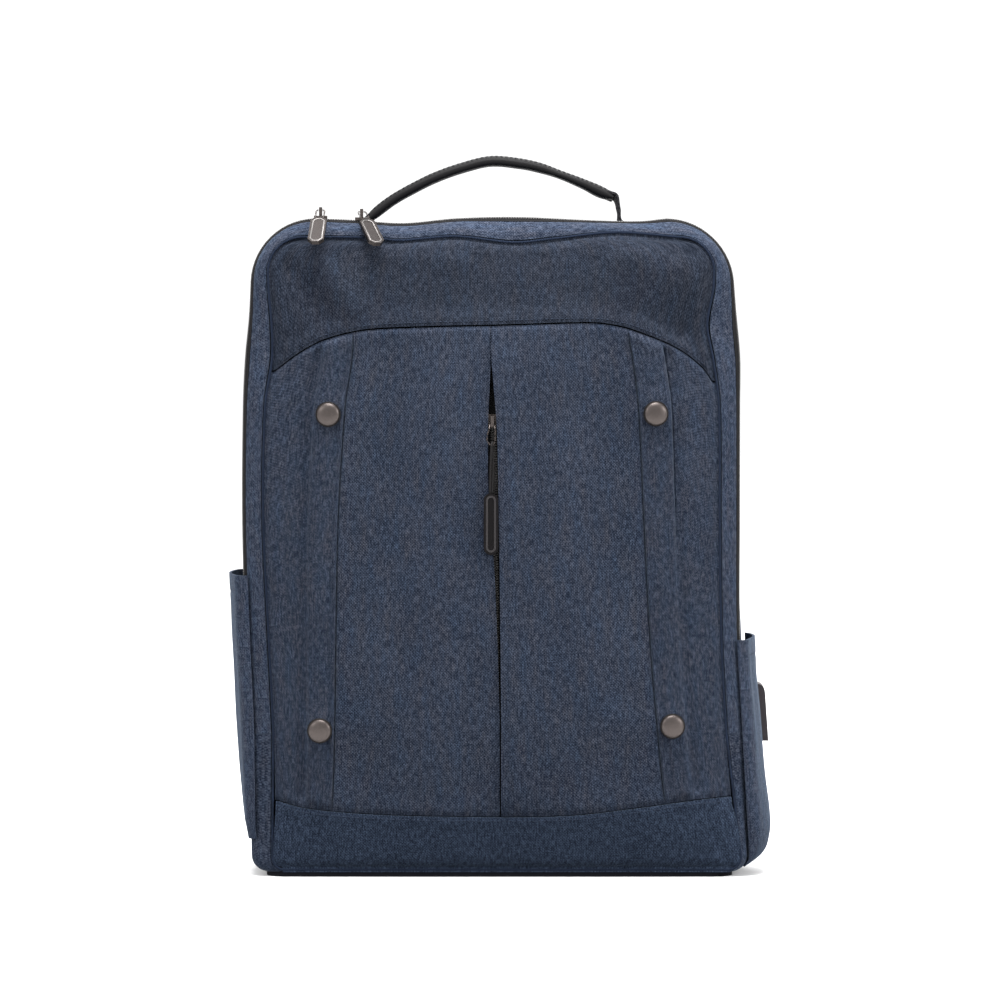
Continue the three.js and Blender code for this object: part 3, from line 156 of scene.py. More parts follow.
BACK_EDGE = [
    {"up": 0.0, "left": 0.93, "right": 0.96},
    {"up": 0.25, "left": 0.95, "right": 0.965},
    {"up": 0.55, "left": 0.955, "right": 0.955},
    {"up": 1.0, "left": 0.92, "right": 0.92},
]

# How far the top edge drops, as a share of the body's height, by place across from -1 at the left to 1
FRONT_DIPS = [
    {"across": -1, "drop": 0},
    {"across": -0.64, "drop": 0.001},
    {"across": -0.49, "drop": 0.005},
    {"across": -0.19, "drop": -0.001},
    {"across": 0.12, "drop": 0.008},
    {"across": 0.34, "drop": 0.002},
    {"across": 0.66, "drop": -0.007},
    {"across": 1, "drop": 0},
]

RIDGE_DIPS = [
    {"across": -1, "drop": 0},
    {"across": -0.8, "drop": 0.002},
    {"across": -0.5, "drop": 0.007},
    {"across": -0.2, "drop": 0},
    {"across": 0.15, "drop": -0.002},
    {"across": 0.6, "drop": 0.003},
    {"across": 0.85, "drop": 0.004},
    {"across": 1, "drop": 0},
]

FLAT_TOP = [
    {"across": -1, "drop": 0},
    {"across": 1, "drop": 0},
]

# How far back the front seam leans, as a share of the body's depth, by height
FRONT_LEAN = [
    {"up": 0.0, "back": 0.035},
    {"up": 0.12, "back": 0.004},
    {"up": 0.5, "back": -0.01},
    {"up": 0.8, "back": 0.0},
    {"up": 1.0, "back": 0.03},
]

# Sections from the front seam to the back seam. top and the corner radii are shares of the body's height
SECTIONS = [
    {"depth": 0, "edge": FRONT_EDGE, "dips": FRONT_DIPS,
     "top": 0.976, "topCorner": 0.055, "footCorner": 0.022},
    {"depth": ZIP_SHARE, "edge": RIDGE_EDGE, "dips": RIDGE_DIPS,
     "top": 1, "topCorner": 0.095, "footCorner": 0.024},
    {"depth": 0.55, "edge": MIDDLE_EDGE, "dips": FLAT_TOP,
     "top": 0.992, "topCorner": 0.095, "footCorner": 0.03},
    {"depth": 1, "edge": BACK_EDGE, "dips": FLAT_TOP,
     "top": 0.966, "topCorner": 0.085, "footCorner": 0.032},
]

# Height of the seam under the yoke and of the seam over the base band, as shares of the body's height
YOKE_SEAM = [
    {"across": -1, "up": 0.771},
    {"across": -0.89, "up": 0.799},
    {"across": -0.78, "up": 0.818},
    {"across": -0.62, "up": 0.832},
    {"across": -0.45, "up": 0.837},
    {"across": 0.1, "up": 0.842},
    {"across": 0.46, "up": 0.845},
    {"across": 0.58, "up": 0.841},
    {"across": 0.69, "up": 0.831},
    {"across": 0.86, "up": 0.806},
    {"across": 0.96, "up": 0.777},
    {"across": 1, "up": 0.755},
]

BAND_SEAM = [
    {"across": -1, "up": 0.117},
    {"across": -0.86, "up": 0.106},
    {"across": -0.5, "up": 0.097},
    {"across": 0, "up": 0.094},
    {"across": 0.33, "up": 0.096},
    {"across": 0.62, "up": 0.108},
    {"across": 0.85, "up": 0.119},
    {"across": 1, "up": 0.124},
]

# Sewn pleats that lean outwards: places across at the yoke and at the band
PLEATS = [
    {"innerTop": -0.636, "innerFoot": -0.748, "outerTop": -0.78, "outerFoot": -0.876, "outerCrisp": 0.15},
    {"innerTop": 0.64, "innerFoot": 0.733, "outerTop": 0.79, "outerFoot": 0.856, "outerCrisp": 1},
]

# Snaps between a pleat's two folds
SNAPS = [
    {"name": "snap_upper_left", "pleat": PLEATS[0], "up": 0.706},
    {"name": "snap_upper_right", "pleat": PLEATS[1], "up": 0.707},
    {"name": "snap_lower_left", "pleat": PLEATS[0], "up": 0.226},
    {"name": "snap_lower_right", "pleat": PLEATS[1], "up": 0.233},
]

# Edges of the two front panels on each side of the centre slit, as shares of half the body's width
SLIT = [
    {"up": 0.1, "left": 0.035, "right": 0.04},
    {"up": 0.27, "left": 0.033, "right": 0.04},
    {"up": 0.48, "left": 0.012, "right": 0.034},
    {"up": 0.57, "left": -0.008, "right": 0.03},
    {"up": 0.68, "left": -0.012, "right": 0.024},
    {"up": 0.76, "left": -0.004, "right": 0.008},
    {"up": 0.79, "left": -0.0015, "right": 0.002},
    {"up": 0.86, "left": -0.0015, "right": 0.002},
]

# Soft swells and dents of the front, each a round bump. reach is a share of half the body's width and swell
# of the crown
FRONT_DENTS = [
    {"across": 0.72, "up": 0.91, "reach": 0.3, "swell": 0.25},
    {"across": -0.55, "up": 0.9, "reach": 0.26, "swell": 0.2},
    {"across": 0.1, "up": 0.955, "reach": 0.2, "swell": -0.3},
    {"across": 0.93, "up": 0.845, "reach": 0.12, "swell": -0.3},
    {"across": -0.3, "up": 0.86, "reach": 0.28, "swell": -0.12},
    {"across": 0.55, "up": 0.25, "reach": 0.4, "swell": 0.12},
    {"across": 0.8, "up": 0.06, "reach": 0.25, "swell": 0.2},
]

# Soft folds of the front's cloth in millimetres, each raised or sunk along a line between two places (x, z)
FOLDS = [
    {"start": (-110, 393), "end": (-86, 362), "height": 2.0, "width": 9},
    {"start": (-126, 384), "end": (-104, 352), "height": -1.6, "width": 8},
    {"start": (-70, 400), "end": (-20, 392), "height": 1.4, "width": 8},
    {"start": (8, 403), "end": (28, 399), "height": -1.8, "width": 7},
    {"start": (88, 396), "end": (128, 382), "height": 2.4, "width": 13},
    {"start": (142, 352), "end": (118, 344), "height": -2.0, "width": 7},
    {"start": (40, 372), "end": (112, 352), "height": -1.2, "width": 12},
    {"start": (-60, 372), "end": (20, 362), "height": -1.0, "width": 14},
    {"start": (152, 30), "end": (162, 14), "height": -1.3, "width": 3.5},
    {"start": (140, 30), "end": (152, 8), "height": -1.0, "width": 3},
    {"start": (-128, 44), "end": (-138, 12), "height": -0.9, "width": 6},
    {"start": (60, 300), "end": (84, 120), "height": -1.2, "width": 16},
    {"start": (-56, 290), "end": (-76, 110), "height": 1.0, "width": 20},
]

# Swell of the side pockets as shares of their greatest swell, by height as a share of the pocket's own
LEFT_POCKET = [
    {"up": 0, "swell": 0},
    {"up": 0.07, "swell": 0.35},
    {"up": 0.3, "swell": 0.7},
    {"up": 0.7, "swell": 0.9},
    {"up": 1, "swell": 1},
]

RIGHT_POCKET = [
    {"up": 0, "swell": 0},
    {"up": 0.04, "swell": 0.55},
    {"up": 0.09, "swell": 0.85},
    {"up": 0.2, "swell": 1},
    {"up": 0.45, "swell": 0.72},
    {"up": 0.75, "swell": 0.52},
    {"up": 1, "swell": 0.46},
]

# Middle line of the handle, and its thickness, as shares of its half span, its rise and its thickness
HANDLE_LINE = [
    {"along": -1.0, "rise": 0.14, "thick": 0.7},
    {"along": -0.93, "rise": 0.25, "thick": 0.95},
    {"along": -0.8, "rise": 0.42, "thick": 1},
    {"along": -0.65, "rise": 0.57, "thick": 1},
    {"along": -0.45, "rise": 0.74, "thick": 1},
    {"along": -0.22, "rise": 0.88, "thick": 1},
    {"along": 0.0, "rise": 0.965, "thick": 1},
    {"along": 0.24, "rise": 0.93, "thick": 1},
    {"along": 0.4, "rise": 0.87, "thick": 0.95},
    {"along": 0.57, "rise": 0.77, "thick": 0.8},
    {"along": 0.75, "rise": 0.645, "thick": 0.95},
    {"along": 0.88, "rise": 0.54, "thick": 1.1},
    {"along": 0.98, "rise": 0.47, "thick": 0.75},
]

# Shoulder strap from its top to its end: place across, width, and distance off the back
STRAP_LINE = [
    {"down": 0, "across": 0, "width": 0.86, "off": 0},
    {"down": 0.06, "across": 0.04, "width": 0.92, "off": 0.25},
    {"down": 0.18, "across": 0.18, "width": 1, "off": 0.75},
    {"down": 0.36, "across": 0.45, "width": 1, "off": 1},
    {"down": 0.55, "across": 0.72, "width": 0.96, "off": 1},
    {"down": 0.75, "across": 0.9, "width": 0.88, "off": 0.8},
    {"down": 0.92, "across": 0.98, "width": 0.74, "off": 0.5},
    {"down": 1, "across": 1, "width": 0.6, "off": 0.4},
]

# One strand of the puller's cord, from the grip's top to the ring. apart is in strand spacings
STRAND = [
    {"up": 0, "apart": 1, "forward": 0},
    {"up": 0.25, "apart": 1.2, "forward": 0.1},
    {"up": 0.6, "apart": 1.3, "forward": 0.4},
    {"up": 0.88, "apart": 1, "forward": 0.9},
    {"up": 1, "apart": 0.8, "forward": 1},
]

FOOT_STEPS = 8
TOP_STEPS = 14
SIDE_STEPS = 72
ACROSS_STEPS = 72
ZIP_END_ROW = FOOT_STEPS + 2


def lerp(a, b, share):
    return a + (b - a) * share


def clamp(value, low, high):
    return max(low, min(high, value))


def smooth(value, start, end):
    """0 before start, 1 past end, and an even curve between."""
    share = clamp((value - start) / (end - start), 0, 1)
    return share * share * (3 - 2 * share)


def read_table(rows, column, at):
    """Smooth value of one column at a place on the first column, as the CAD reads it."""
    place = next(iter(rows[0]))
    last = len(rows) - 1
    after = next((i for i, row in enumerate(rows) if row[place] >= at), last)
    after = max(after, 1)
    before = after - 1
    step = rows[after][place] - rows[before][place]
    share = clamp((at - rows[before][place]) / step, 0, 1)

    def slope(i):
        low = rows[max(i - 1, 0)]
        high = rows[min(i + 1, last)]
        return (high[column] - low[column]) / (high[place] - low[place])

    stay = 1 - share
    return ((1 + 2 * share) * stay * stay * rows[before][column]
            + share * stay * stay * step * slope(before)
            + share * share * (3 - 2 * share) * rows[after][column]
            - share * share * stay * step * slope(after))


def corner_cut(distance, radius):
    rest = radius - clamp(distance, 0, radius)
    return radius - math.sqrt(radius * radius - rest * rest)


def section_half_width(section, side, z, inset=0.0):
    straight = read_table(section["edge"], side, z / BODY_HEIGHT) * HALF_WIDTH
    from_top = section["top"] * BODY_HEIGHT - z
    from_foot = z - FOOT_HEIGHT
    top_cut = corner_cut(from_top - inset, section["topCorner"] * BODY_HEIGHT - inset)
    foot_cut = corner_cut(from_foot - inset, section["footCorner"] * BODY_HEIGHT - inset)
    return straight - inset - top_cut - foot_cut


def section_top(section, across):
    return (section["top"] - read_table(section["dips"], "drop", across)) * BODY_HEIGHT


def rim_heights(section, inset):
    foot_radius = section["footCorner"] * BODY_HEIGHT - inset
    top_radius = section["topCorner"] * BODY_HEIGHT - inset
    foot = FOOT_HEIGHT + inset
    top = section["top"] * BODY_HEIGHT - inset
    quarter = math.pi / 2
    heights = [foot + foot_radius * (1 - math.cos(i / FOOT_STEPS * quarter)) for i in range(FOOT_STEPS + 1)]
    heights += [ZIP_END_HEIGHT - GAP * 4, ZIP_END_HEIGHT]
    low = ZIP_END_HEIGHT + GAP
    heights += [lerp(low, top - top_radius, i / SIDE_STEPS) for i in range(SIDE_STEPS)]
    heights += [top - top_radius * (1 - math.sin(i / TOP_STEPS * quarter)) for i in range(TOP_STEPS + 1)]
    return heights


def section_rim(section, inset=0.0):
    """The rim of a section as (x, z): up the left side, over the top and down the right side."""
    heights = rim_heights(section, inset)
    left = [Vector((-section_half_width(section, "left", z, inset), z)) for z in heights]
    right = [Vector((section_half_width(section, "right", z, inset), z)) for z in reversed(heights)]
    top = []
    for i in range(1, ACROSS_STEPS):
        share = i / ACROSS_STEPS
        x = lerp(left[-1].x, right[0].x, share)
        top.append(Vector((x, section_top(section, lerp(-1, 1, share)) - inset)))
    return left + top + right


SECTION_RIMS = [section_rim(section) for section in SECTIONS]
SIDE_ROWS = FOOT_STEPS + 1 + 2 + SIDE_STEPS + TOP_STEPS + 1
RIM_COUNT = len(SECTION_RIMS[0])
rim_store = {}


def rim_at(depth):
    """The rim at any depth, mixed from the two sections beside it."""
    if depth not in rim_store:
        after = next(i for i, section in enumerate(SECTIONS) if section["depth"] >= depth)
        after = max(after, 1)
        low = SECTIONS[after - 1]["depth"]
        share = (depth - low) / (SECTIONS[after]["depth"] - low)
        eased = math.sin(share * math.pi / 2) if after == 1 else share * share * (3 - 2 * share)
        pairs = zip(SECTION_RIMS[after - 1], SECTION_RIMS[after])
        rim_store[depth] = [start.lerp(end, eased) for start, end in pairs]
    return rim_store[depth]


def seam_y(z):
    return (read_table(FRONT_LEAN, "back", z / BODY_HEIGHT) - 0.5) * BODY_DEPTH


def depth_y(depth, z):
    return lerp(seam_y(z), BODY_DEPTH / 2, depth)


def side_at(depth, side, z):
    """Distance from the middle to the gusset's outside on one side."""
    rim = rim_at(depth)
    points = rim[:SIDE_ROWS] if side == "left" else rim[-SIDE_ROWS:][::-1]
    upper = next((i for i, point in enumerate(points) if point.y >= z), len(points) - 1)
    upper = clamp(upper, 1, len(points) - 1)
    low = points[upper - 1]
    high = points[upper]
    share = clamp((z - low.y) / (high.y - low.y), 0, 1)
    return abs(lerp(low.x, high.x, share))


def top_at(depth, x):
    rim = rim_at(depth)[SIDE_ROWS - TOP_STEPS:RIM_COUNT - SIDE_ROWS + TOP_STEPS]
    after = next((i for i, point in enumerate(rim) if point.x >= x), len(rim) - 1)
    after = max(after, 1)
    share = (x - rim[after - 1].x) / (rim[after].x - rim[after - 1].x)
    return lerp(rim[after - 1].y, rim[after].y, share)


def gusset_point(depth, j):
    point = rim_at(clamp(depth, 0, 1))[clamp(j, 0, RIM_COUNT - 1)]
    return Vector((point.x, depth_y(depth, point.y), point.y))


def gusset_normal(depth, j):
    small = 0.002
    backwards = gusset_point(depth + small, j) - gusset_point(depth - small, j)
    onwards = gusset_point(depth, j + 1) - gusset_point(depth, j - 1)
    normal = backwards.cross(onwards).normalized()
    return -normal if (gusset_point(depth, j) - BODY_CENTRE).dot(normal) < 0 else normal


FRONT = SECTIONS[0]
BACK = SECTIONS[-1]


def front_half(side, z):
    return section_half_width(FRONT, side, z, FRONT_INSET)


def across_at(x, z):
    return x / front_half("left" if x < 0 else "right", z)


def front_point(across, z):
    low = FOOT_HEIGHT + FRONT_INSET
    high = section_top(FRONT, across) - FRONT_INSET
    rise = clamp((z - low) / (high - low), 0, 1)
    swell_across = (1 - min(abs(across), 1) ** 2.6) ** 0.6
    swell_up = (1 - abs(2 * rise - 1) ** 4) ** 0.55
    dents = 0.0
    for dent in FRONT_DENTS:
        upwards = (z / BODY_HEIGHT - dent["up"]) * (BODY_HEIGHT / HALF_WIDTH)
        away = math.hypot(across - dent["across"], upwards) / dent["reach"]
        dents += dent["swell"] * math.exp(-away * away)
    half = front_half("left" if across < 0 else "right", z)
    return Vector((across * half, seam_y(z) - FRONT_CROWN * swell_across * swell_up * (1 + dents), z))


def front_normal(across, z):
    small = 0.008
    sideways = front_point(across + small, z) - front_point(across - small, z)
    rise = small * BODY_HEIGHT / 2
    upwards = front_point(across, z + rise) - front_point(across, z - rise)
    normal = sideways.cross(upwards).normalized()
    return -normal if normal.y > 0 else normal


def off_front(across, z, off):
    return front_point(across, z) + front_normal(across, z) * off


def yoke_seam(across):
    return read_table(YOKE_SEAM, "up", across) * BODY_HEIGHT


def band_seam(across):
    return read_table(BAND_SEAM, "up", across) * BODY_HEIGHT


def front_top(across):
    return section_top(FRONT, across) - FRONT_INSET


def pleat_at(pleat, which, z):
    low = read_table(BAND_SEAM, "up", 0)
    high = read_table(YOKE_SEAM, "up", 0)
    share = clamp((z / BODY_HEIGHT - low) / (high - low), 0, 1)
    return lerp(pleat[which + "Foot"], pleat[which + "Top"], share)


def slit_edge(side, z):
    return across_at(read_table(SLIT, side, z / BODY_HEIGHT) * HALF_WIDTH, z)


def slit_middle():
    up = CENTRE_SLIDER_HEIGHT / BODY_HEIGHT
    return (read_table(SLIT, "left", up) + read_table(SLIT, "right", up)) / 2 * HALF_WIDTH


def side_point(depth, side, z):
    sign = -1 if side == "left" else 1
    return Vector((sign * side_at(depth, side, z), depth_y(depth, z), z))


def side_normal(depth, side, z):
    """Level direction out of the gusset on one side."""
    run = side_point(depth + 0.01, side, z) - side_point(depth - 0.01, side, z)
    normal = Vector((run.y, -run.x, 0)).normalized()
    sign = -1 if side == "left" else 1
    return -normal if normal.x * sign < 0 else normal


def back_y(x, z):
    """Outside of the padded back panel."""
    half = section_half_width(BACK, "left" if x < 0 else "right", z, BACK_INSET)
    across = clamp(x / half, -1, 1)
    top = BACK["top"] * BODY_HEIGHT
    up = clamp(2 * ((z - FOOT_HEIGHT) / (top - FOOT_HEIGHT)) - 1, -1, 1)
    swell = BACK_CROWN * (1 - across ** 4) * (1 - up ** 4)
    padding = BACK_PADDING * (BACK_EDGE_SHARE + (1 - BACK_EDGE_SHARE) * (1 - across ** 6))
    return BODY_DEPTH / 2 + GAP + padding + swell


class BackpackSizes(bpy.types.PropertyGroup):
    weave: FloatProperty(
        name="Weave", description="Spacing of the cloth's threads", default=0.95 * MM, unit="LENGTH")
    stitch: FloatProperty(
        name="Stitch", description="Length of one stitch with its gap", default=3.2 * MM, unit="LENGTH")
    tooth: FloatProperty(
        name="Zip tooth", description="Spacing of the zips' teeth", default=1.6 * MM, unit="LENGTH")
    wrinkle: FloatProperty(
        name="Wrinkle", description="Height of the cloth's soft folds", default=0.9 * MM, unit="LENGTH")


class BackpackColours(bpy.types.PropertyGroup):
    cloth_dark: FloatVectorProperty(
        name="Cloth, dark thread", description="Darker thread of the cloth", subtype="COLOR",
        default=(0.0065, 0.0115, 0.025))
    cloth_light: FloatVectorProperty(
        name="Cloth, light thread", description="Lighter thread of the cloth", subtype="COLOR",
        default=(0.05, 0.072, 0.118))
    cloth_warm: FloatVectorProperty(
        name="Cloth, warm thread", description="Greyer threads that run through the cloth", subtype="COLOR",
        default=(0.068, 0.073, 0.096))
    metal: FloatVectorProperty(
        name="Metal", description="Snaps, sliders and pull tabs", subtype="COLOR",
        default=(0.06, 0.051, 0.048))
    trim: FloatVectorProperty(
        name="Black trim", description="Handle, webbing and zip tapes", subtype="COLOR",
        default=(0.008, 0.0077, 0.009))
    floor: FloatVectorProperty(
        name="Floor", description="Floor and backdrop", subtype="COLOR", default=(0.9, 0.9, 0.9))


def sizes():
    return bpy.context.scene.backpack_sizes


def colours():
    return bpy.context.scene.backpack_colours


def deselect():
    if bpy.context.object and bpy.context.object.mode != "OBJECT":
        bpy.ops.object.mode_set(mode="OBJECT")
    bpy.ops.object.select_all(action="DESELECT")


def choose(piece):
    deselect()
    piece.select_set(True)
    bpy.context.view_layer.objects.active = piece


def new_material(name, roughness, metallic=0.0):
    made = bpy.data.materials.new(name)
    made.use_nodes = True
    shader = made.node_tree.nodes["Principled BSDF"]
    shader.inputs["Roughness"].default_value = roughness
    shader.inputs["Metallic"].default_value = metallic
    return made, shader


def link(made, start, end):
    made.node_tree.links.new(start, end)


def add_node(made, kind, **values):
    node = made.node_tree.nodes.new(kind)
    for name, value in values.items():
        setattr(node, name, value)
    return node


def math_node(made, operation, first, second):
    node = add_node(made, "ShaderNodeMath", operation=operation)
    for socket, value in zip(node.inputs, (first, second)):
        if isinstance(value, (int, float)):
            socket.default_value = value
        else:
            link(made, value, socket)
    return node.outputs[0]


def noise_node(made, coordinates, scale, detail, stretch=(1, 1, 1)):
    mapping = add_node(made, "ShaderNodeMapping")
    mapping.inputs["Scale"].default_value = stretch
    link(made, coordinates, mapping.inputs["Vector"])
    made_noise = add_node(made, "ShaderNodeTexNoise")
    made_noise.inputs["Scale"].default_value = scale
    made_noise.inputs["Detail"].default_value = detail
    made_noise.inputs["Roughness"].default_value = 0.6
    link(made, mapping.outputs["Vector"], made_noise.inputs["Vector"])
    return made_noise.outputs["Fac"]


def ramp_node(made, factor, stops):
    ramp = add_node(made, "ShaderNodeValToRGB")
    while len(ramp.color_ramp.elements) < len(stops):
        ramp.color_ramp.elements.new(0.5)
    for element, (place, colour) in zip(ramp.color_ramp.elements, stops):
        element.position = place
        element.color = (*colour, 1)
    link(made, factor, ramp.inputs["Fac"])
    return ramp.outputs["Color"]


def bump_node(made, height, distance, strength=1.0):
    bump = add_node(made, "ShaderNodeBump")
    bump.inputs["Distance"].default_value = distance
    bump.inputs["Strength"].default_value = strength
    link(made, height, bump.inputs["Height"])
    return bump.outputs["Normal"]


def weave_height(made, coordinates, spacing):
    """Height of a plain weave, from coordinates in metres along the two threads."""
    split = add_node(made, "ShaderNodeSeparateXYZ")
    link(made, coordinates, split.inputs["Vector"])
    turn = math.pi / spacing
    warp = math_node(made, "SINE", math_node(made, "MULTIPLY", split.outputs["X"], turn), 0)
    weft = math_node(made, "SINE", math_node(made, "MULTIPLY", split.outputs["Y"], turn), 0)
    return math_node(made, "MULTIPLY", warp, weft)


def weighed_sum(made, parts):
    """Sum of (value, weight) pairs."""
    total = 0
    for value, weight in parts:
        total = math_node(made, "ADD", math_node(made, "MULTIPLY", value, weight), total)
    return total


def cloth_material(name, dark, light, warm, painted_shade=1.0, sheen=0.16):
    """Two-tone cloth: a plain weave whose threads vary in colour along their length. The shade factor darkens
    every colour, as painted shade for darker copies of the one cloth.
    """
    made, shader = new_material(name, 0.92)
    flat = add_node(made, "ShaderNodeTexCoord").outputs["UV"]
    spacing = sizes().weave
    upright = noise_node(made, flat, 1 / spacing, 3, (1, 0.2, 1))
    level = noise_node(made, flat, 1 / spacing, 3, (0.2, 1, 1))
    grain = noise_node(made, flat, 1.3 / spacing, 2)
    fleck = noise_node(made, flat, 0.5 / spacing, 2, (1, 0.5, 1))
    broad = noise_node(made, flat, 28, 3, (1, 0.5, 1))
    weave = weave_height(made, flat, spacing)
    mixed = weighed_sum(made, [(upright, 0.38), (level, 0.22), (grain, 0.34), (fleck, 0.18), (broad, 0.08),
                               (weave, 0.035)])

    def thread(tone):
        return ramp_node(made, mixed, [
            (0.52, tuple(painted_shade * c for c in dark)),
            (0.6, tuple(painted_shade * lerp(a, b, 0.4) for a, b in zip(dark, tone))),
            (0.7, tuple(painted_shade * c * 1.12 for c in tone)),
        ])

    blend = add_node(made, "ShaderNodeMix", data_type="RGBA")
    tint = noise_node(made, flat, 170, 3, (1, 0.22, 1))
    link(made, ramp_node(made, tint, [(0.3, (0, 0, 0)), (0.7, (1, 1, 1))]), blend.inputs["Factor"])
    link(made, thread(light), blend.inputs["A"])
    link(made, thread(warm), blend.inputs["B"])
    link(made, blend.outputs["Result"], shader.inputs["Base Color"])
    height = math_node(made, "ADD", math_node(made, "MULTIPLY", weave, 0.5), mixed)
    link(made, bump_node(made, height, 0.2 * MM, 0.9), shader.inputs["Normal"])
    shader.inputs["Sheen Weight"].default_value = sheen
    shader.inputs["Sheen Tint"].default_value = (0.6, 0.78, 1, 1)
    shader.inputs["Sheen Roughness"].default_value = 0.35
    shader.inputs["Specular IOR Level"].default_value = 0.15
    return made


def webbing_material(name, colour, spacing, depth):
    """Plain dark webbing, tape or mesh with a raised weave."""
    made, shader = new_material(name, 0.85)
    flat = add_node(made, "ShaderNodeTexCoord").outputs["UV"]
    weave = weave_height(made, flat, spacing)
    grain = noise_node(made, flat, 1 / spacing, 2)
    lighter = tuple(channel * 2.2 + 0.004 for channel in colour)
    link(made, ramp_node(made, grain, [(0.3, colour), (0.75, lighter)]), shader.inputs["Base Color"])
    height = math_node(made, "ADD", weave, grain)
    link(made, bump_node(made, height, depth, 0.9), shader.inputs["Normal"])
    shader.inputs["Specular IOR Level"].default_value = 0.15
    return made


def plain_material(name, colour, roughness, metallic=0.0, grain=600, depth=0.03, shine=0.3):
    """A hard or rubbery finish with a fine grain."""
    made, shader = new_material(name, roughness, metallic)
    shader.inputs["Specular IOR Level"].default_value = shine
    place = add_node(made, "ShaderNodeTexCoord").outputs["Object"]
    texture = noise_node(made, place, grain, 4)
    lighter = tuple(channel * 1.25 for channel in colour)
    link(made, ramp_node(made, texture, [(0.3, colour), (0.75, lighter)]), shader.inputs["Base Color"])
    link(made, bump_node(made, texture, depth * MM, 0.6), shader.inputs["Normal"])
    return made


MATERIALS = {}


def material(name):
    if name not in MATERIALS:
        trim = tuple(colours().trim)
        dark = tuple(colours().cloth_dark)
        light = tuple(colours().cloth_light)
        warm = tuple(colours().cloth_warm)
        thread = tuple(lerp(a, b, 0.14) for a, b in zip(dark, light))
        makers = {
            "cloth": lambda: cloth_material("cloth", dark, light, warm),
            # The front panels, yoke and base band use darker copies of the one cloth as painted shade: the
            # yoke at half, the panels and band at 0.8.
            "panel_cloth": lambda: cloth_material("panel_cloth", dark, light, warm, 0.8, 0.1),
            "yoke_cloth": lambda: cloth_material("yoke_cloth", dark, light, warm, 0.5, 0.1),
            "band_cloth": lambda: cloth_material("band_cloth", dark, light, light, 0.8),
            "piping": lambda: webbing_material("piping", dark, 0.9 * MM, 0.1 * MM),
            "thread": lambda: plain_material("thread", thread, 0.8),
            "black_thread": lambda: plain_material("black_thread", (0.02, 0.02, 0.022), 0.7),
            # The tape is the trim black at half: partly the tape's own black, partly painted shade where the
            # centre zip sits recessed in the slit.
            "tape": lambda: webbing_material("tape", tuple(0.5 * c for c in trim), 0.7 * MM, 0.08 * MM),
            "teeth": lambda: plain_material("teeth", (0.03, 0.028, 0.028), 0.35),
            "webbing": lambda: webbing_material("webbing", trim, 1.6 * MM, 0.2 * MM),
            "mesh": lambda: webbing_material("mesh", (0.014, 0.015, 0.018), 2.6 * MM, 0.5 * MM),
            "strap_cloth": lambda: webbing_material("strap_cloth", (0.014, 0.016, 0.021), 0.9 * MM, 0.1 * MM),
            "handle": lambda: plain_material("handle", (0.0045, 0.0043, 0.0048), 0.6, 0, 1400, 0.12, 0.14),
            "metal_dark": lambda: plain_material("metal_dark", (0.012, 0.0105, 0.0105), 0.5, 0.6, 900, 0.02),
            "metal_rim": lambda: plain_material("metal_rim", (0.11, 0.103, 0.1), 0.4, 0.9, 900, 0.02),
            "tab_face": lambda: plain_material("tab_face", (0.028, 0.024, 0.023), 0.42, 0.85, 900, 0.02),
            "grip_rim": lambda: plain_material("grip_rim", (0.014, 0.012, 0.013), 0.5, 0, 900, 0.04),
            "metal": lambda: plain_material("metal", tuple(colours().metal), 0.42, 0.9, 900, 0.02),
            "plastic": lambda: plain_material("plastic", (0.012, 0.012, 0.014), 0.45),
            "port": lambda: plain_material("port", (0.022, 0.018, 0.021), 0.5),
            "rubber": lambda: plain_material("rubber", (0.0025, 0.002, 0.0024), 0.65, 0, 900, 0.05, 0.1),
            "cord": lambda: plain_material("cord", (0.007, 0.0065, 0.007), 0.8, 0, 2200, 0.12, 0.2),
            # The base's near-black colour is partly its own dark cloth and partly painted shade of the
            # underside, where it shows below the front.
            "base": lambda: plain_material("base", (0.006, 0.0065, 0.009), 0.85, 0, 1200, 0.1, 0.1),
        }
        MATERIALS[name] = makers[name]()
    return MATERIALS[name]


def outward(rows, centre):
    """Whether a grid's quads, as listed, face away from a centre."""
    total = 0.0
    for i in range(0, len(rows) - 1, 3):
        for j in range(0, len(rows[0]) - 1, 3):
            a = rows[i][j]
            across = (rows[i][j + 1] - a).cross(rows[i + 1][j] - a)
            total += across.dot(a - centre)
    return total > 0


def grid_mesh(name, rows, centre=BODY_CENTRE, closed=False, warp_along_rows=False):
    """A sheet through rows of points in millimetres, with its UV in metres along the cloth."""
    wide = len(rows[0])
    points = [point * MM for row in rows for point in row]
    spans = wide if closed else wide - 1
    faces = []
    turned = not outward(rows, centre)
    for i in range(len(rows) - 1):
        for j in range(spans):
            k = (j + 1) % wide
            corner = [i * wide + j, i * wide + k, (i + 1) * wide + k, (i + 1) * wide + j]
            faces.append(corner[::-1] if turned else corner)
    mesh = bpy.data.meshes.new(name)
    mesh.from_pydata(points, [], faces)
    middle = rows[len(rows) // 2]
    along = [0.0]
    for j in range(1, wide):
        along.append(along[-1] + (middle[j] - middle[j - 1]).length * MM)
    up = [0.0]
    for i in range(1, len(rows)):
        up.append(up[-1] + (rows[i][wide // 2] - rows[i - 1][wide // 2]).length * MM)
    layer = mesh.uv_layers.new(name="UVMap")
    for loop in mesh.loops:
        i, j = divmod(loop.vertex_index, wide)
        layer.data[loop.index].uv = (up[i], along[j]) if warp_along_rows else (along[j], up[i])
    piece = bpy.data.objects.new(name, mesh)
    bpy.context.scene.collection.objects.link(piece)
    return piece


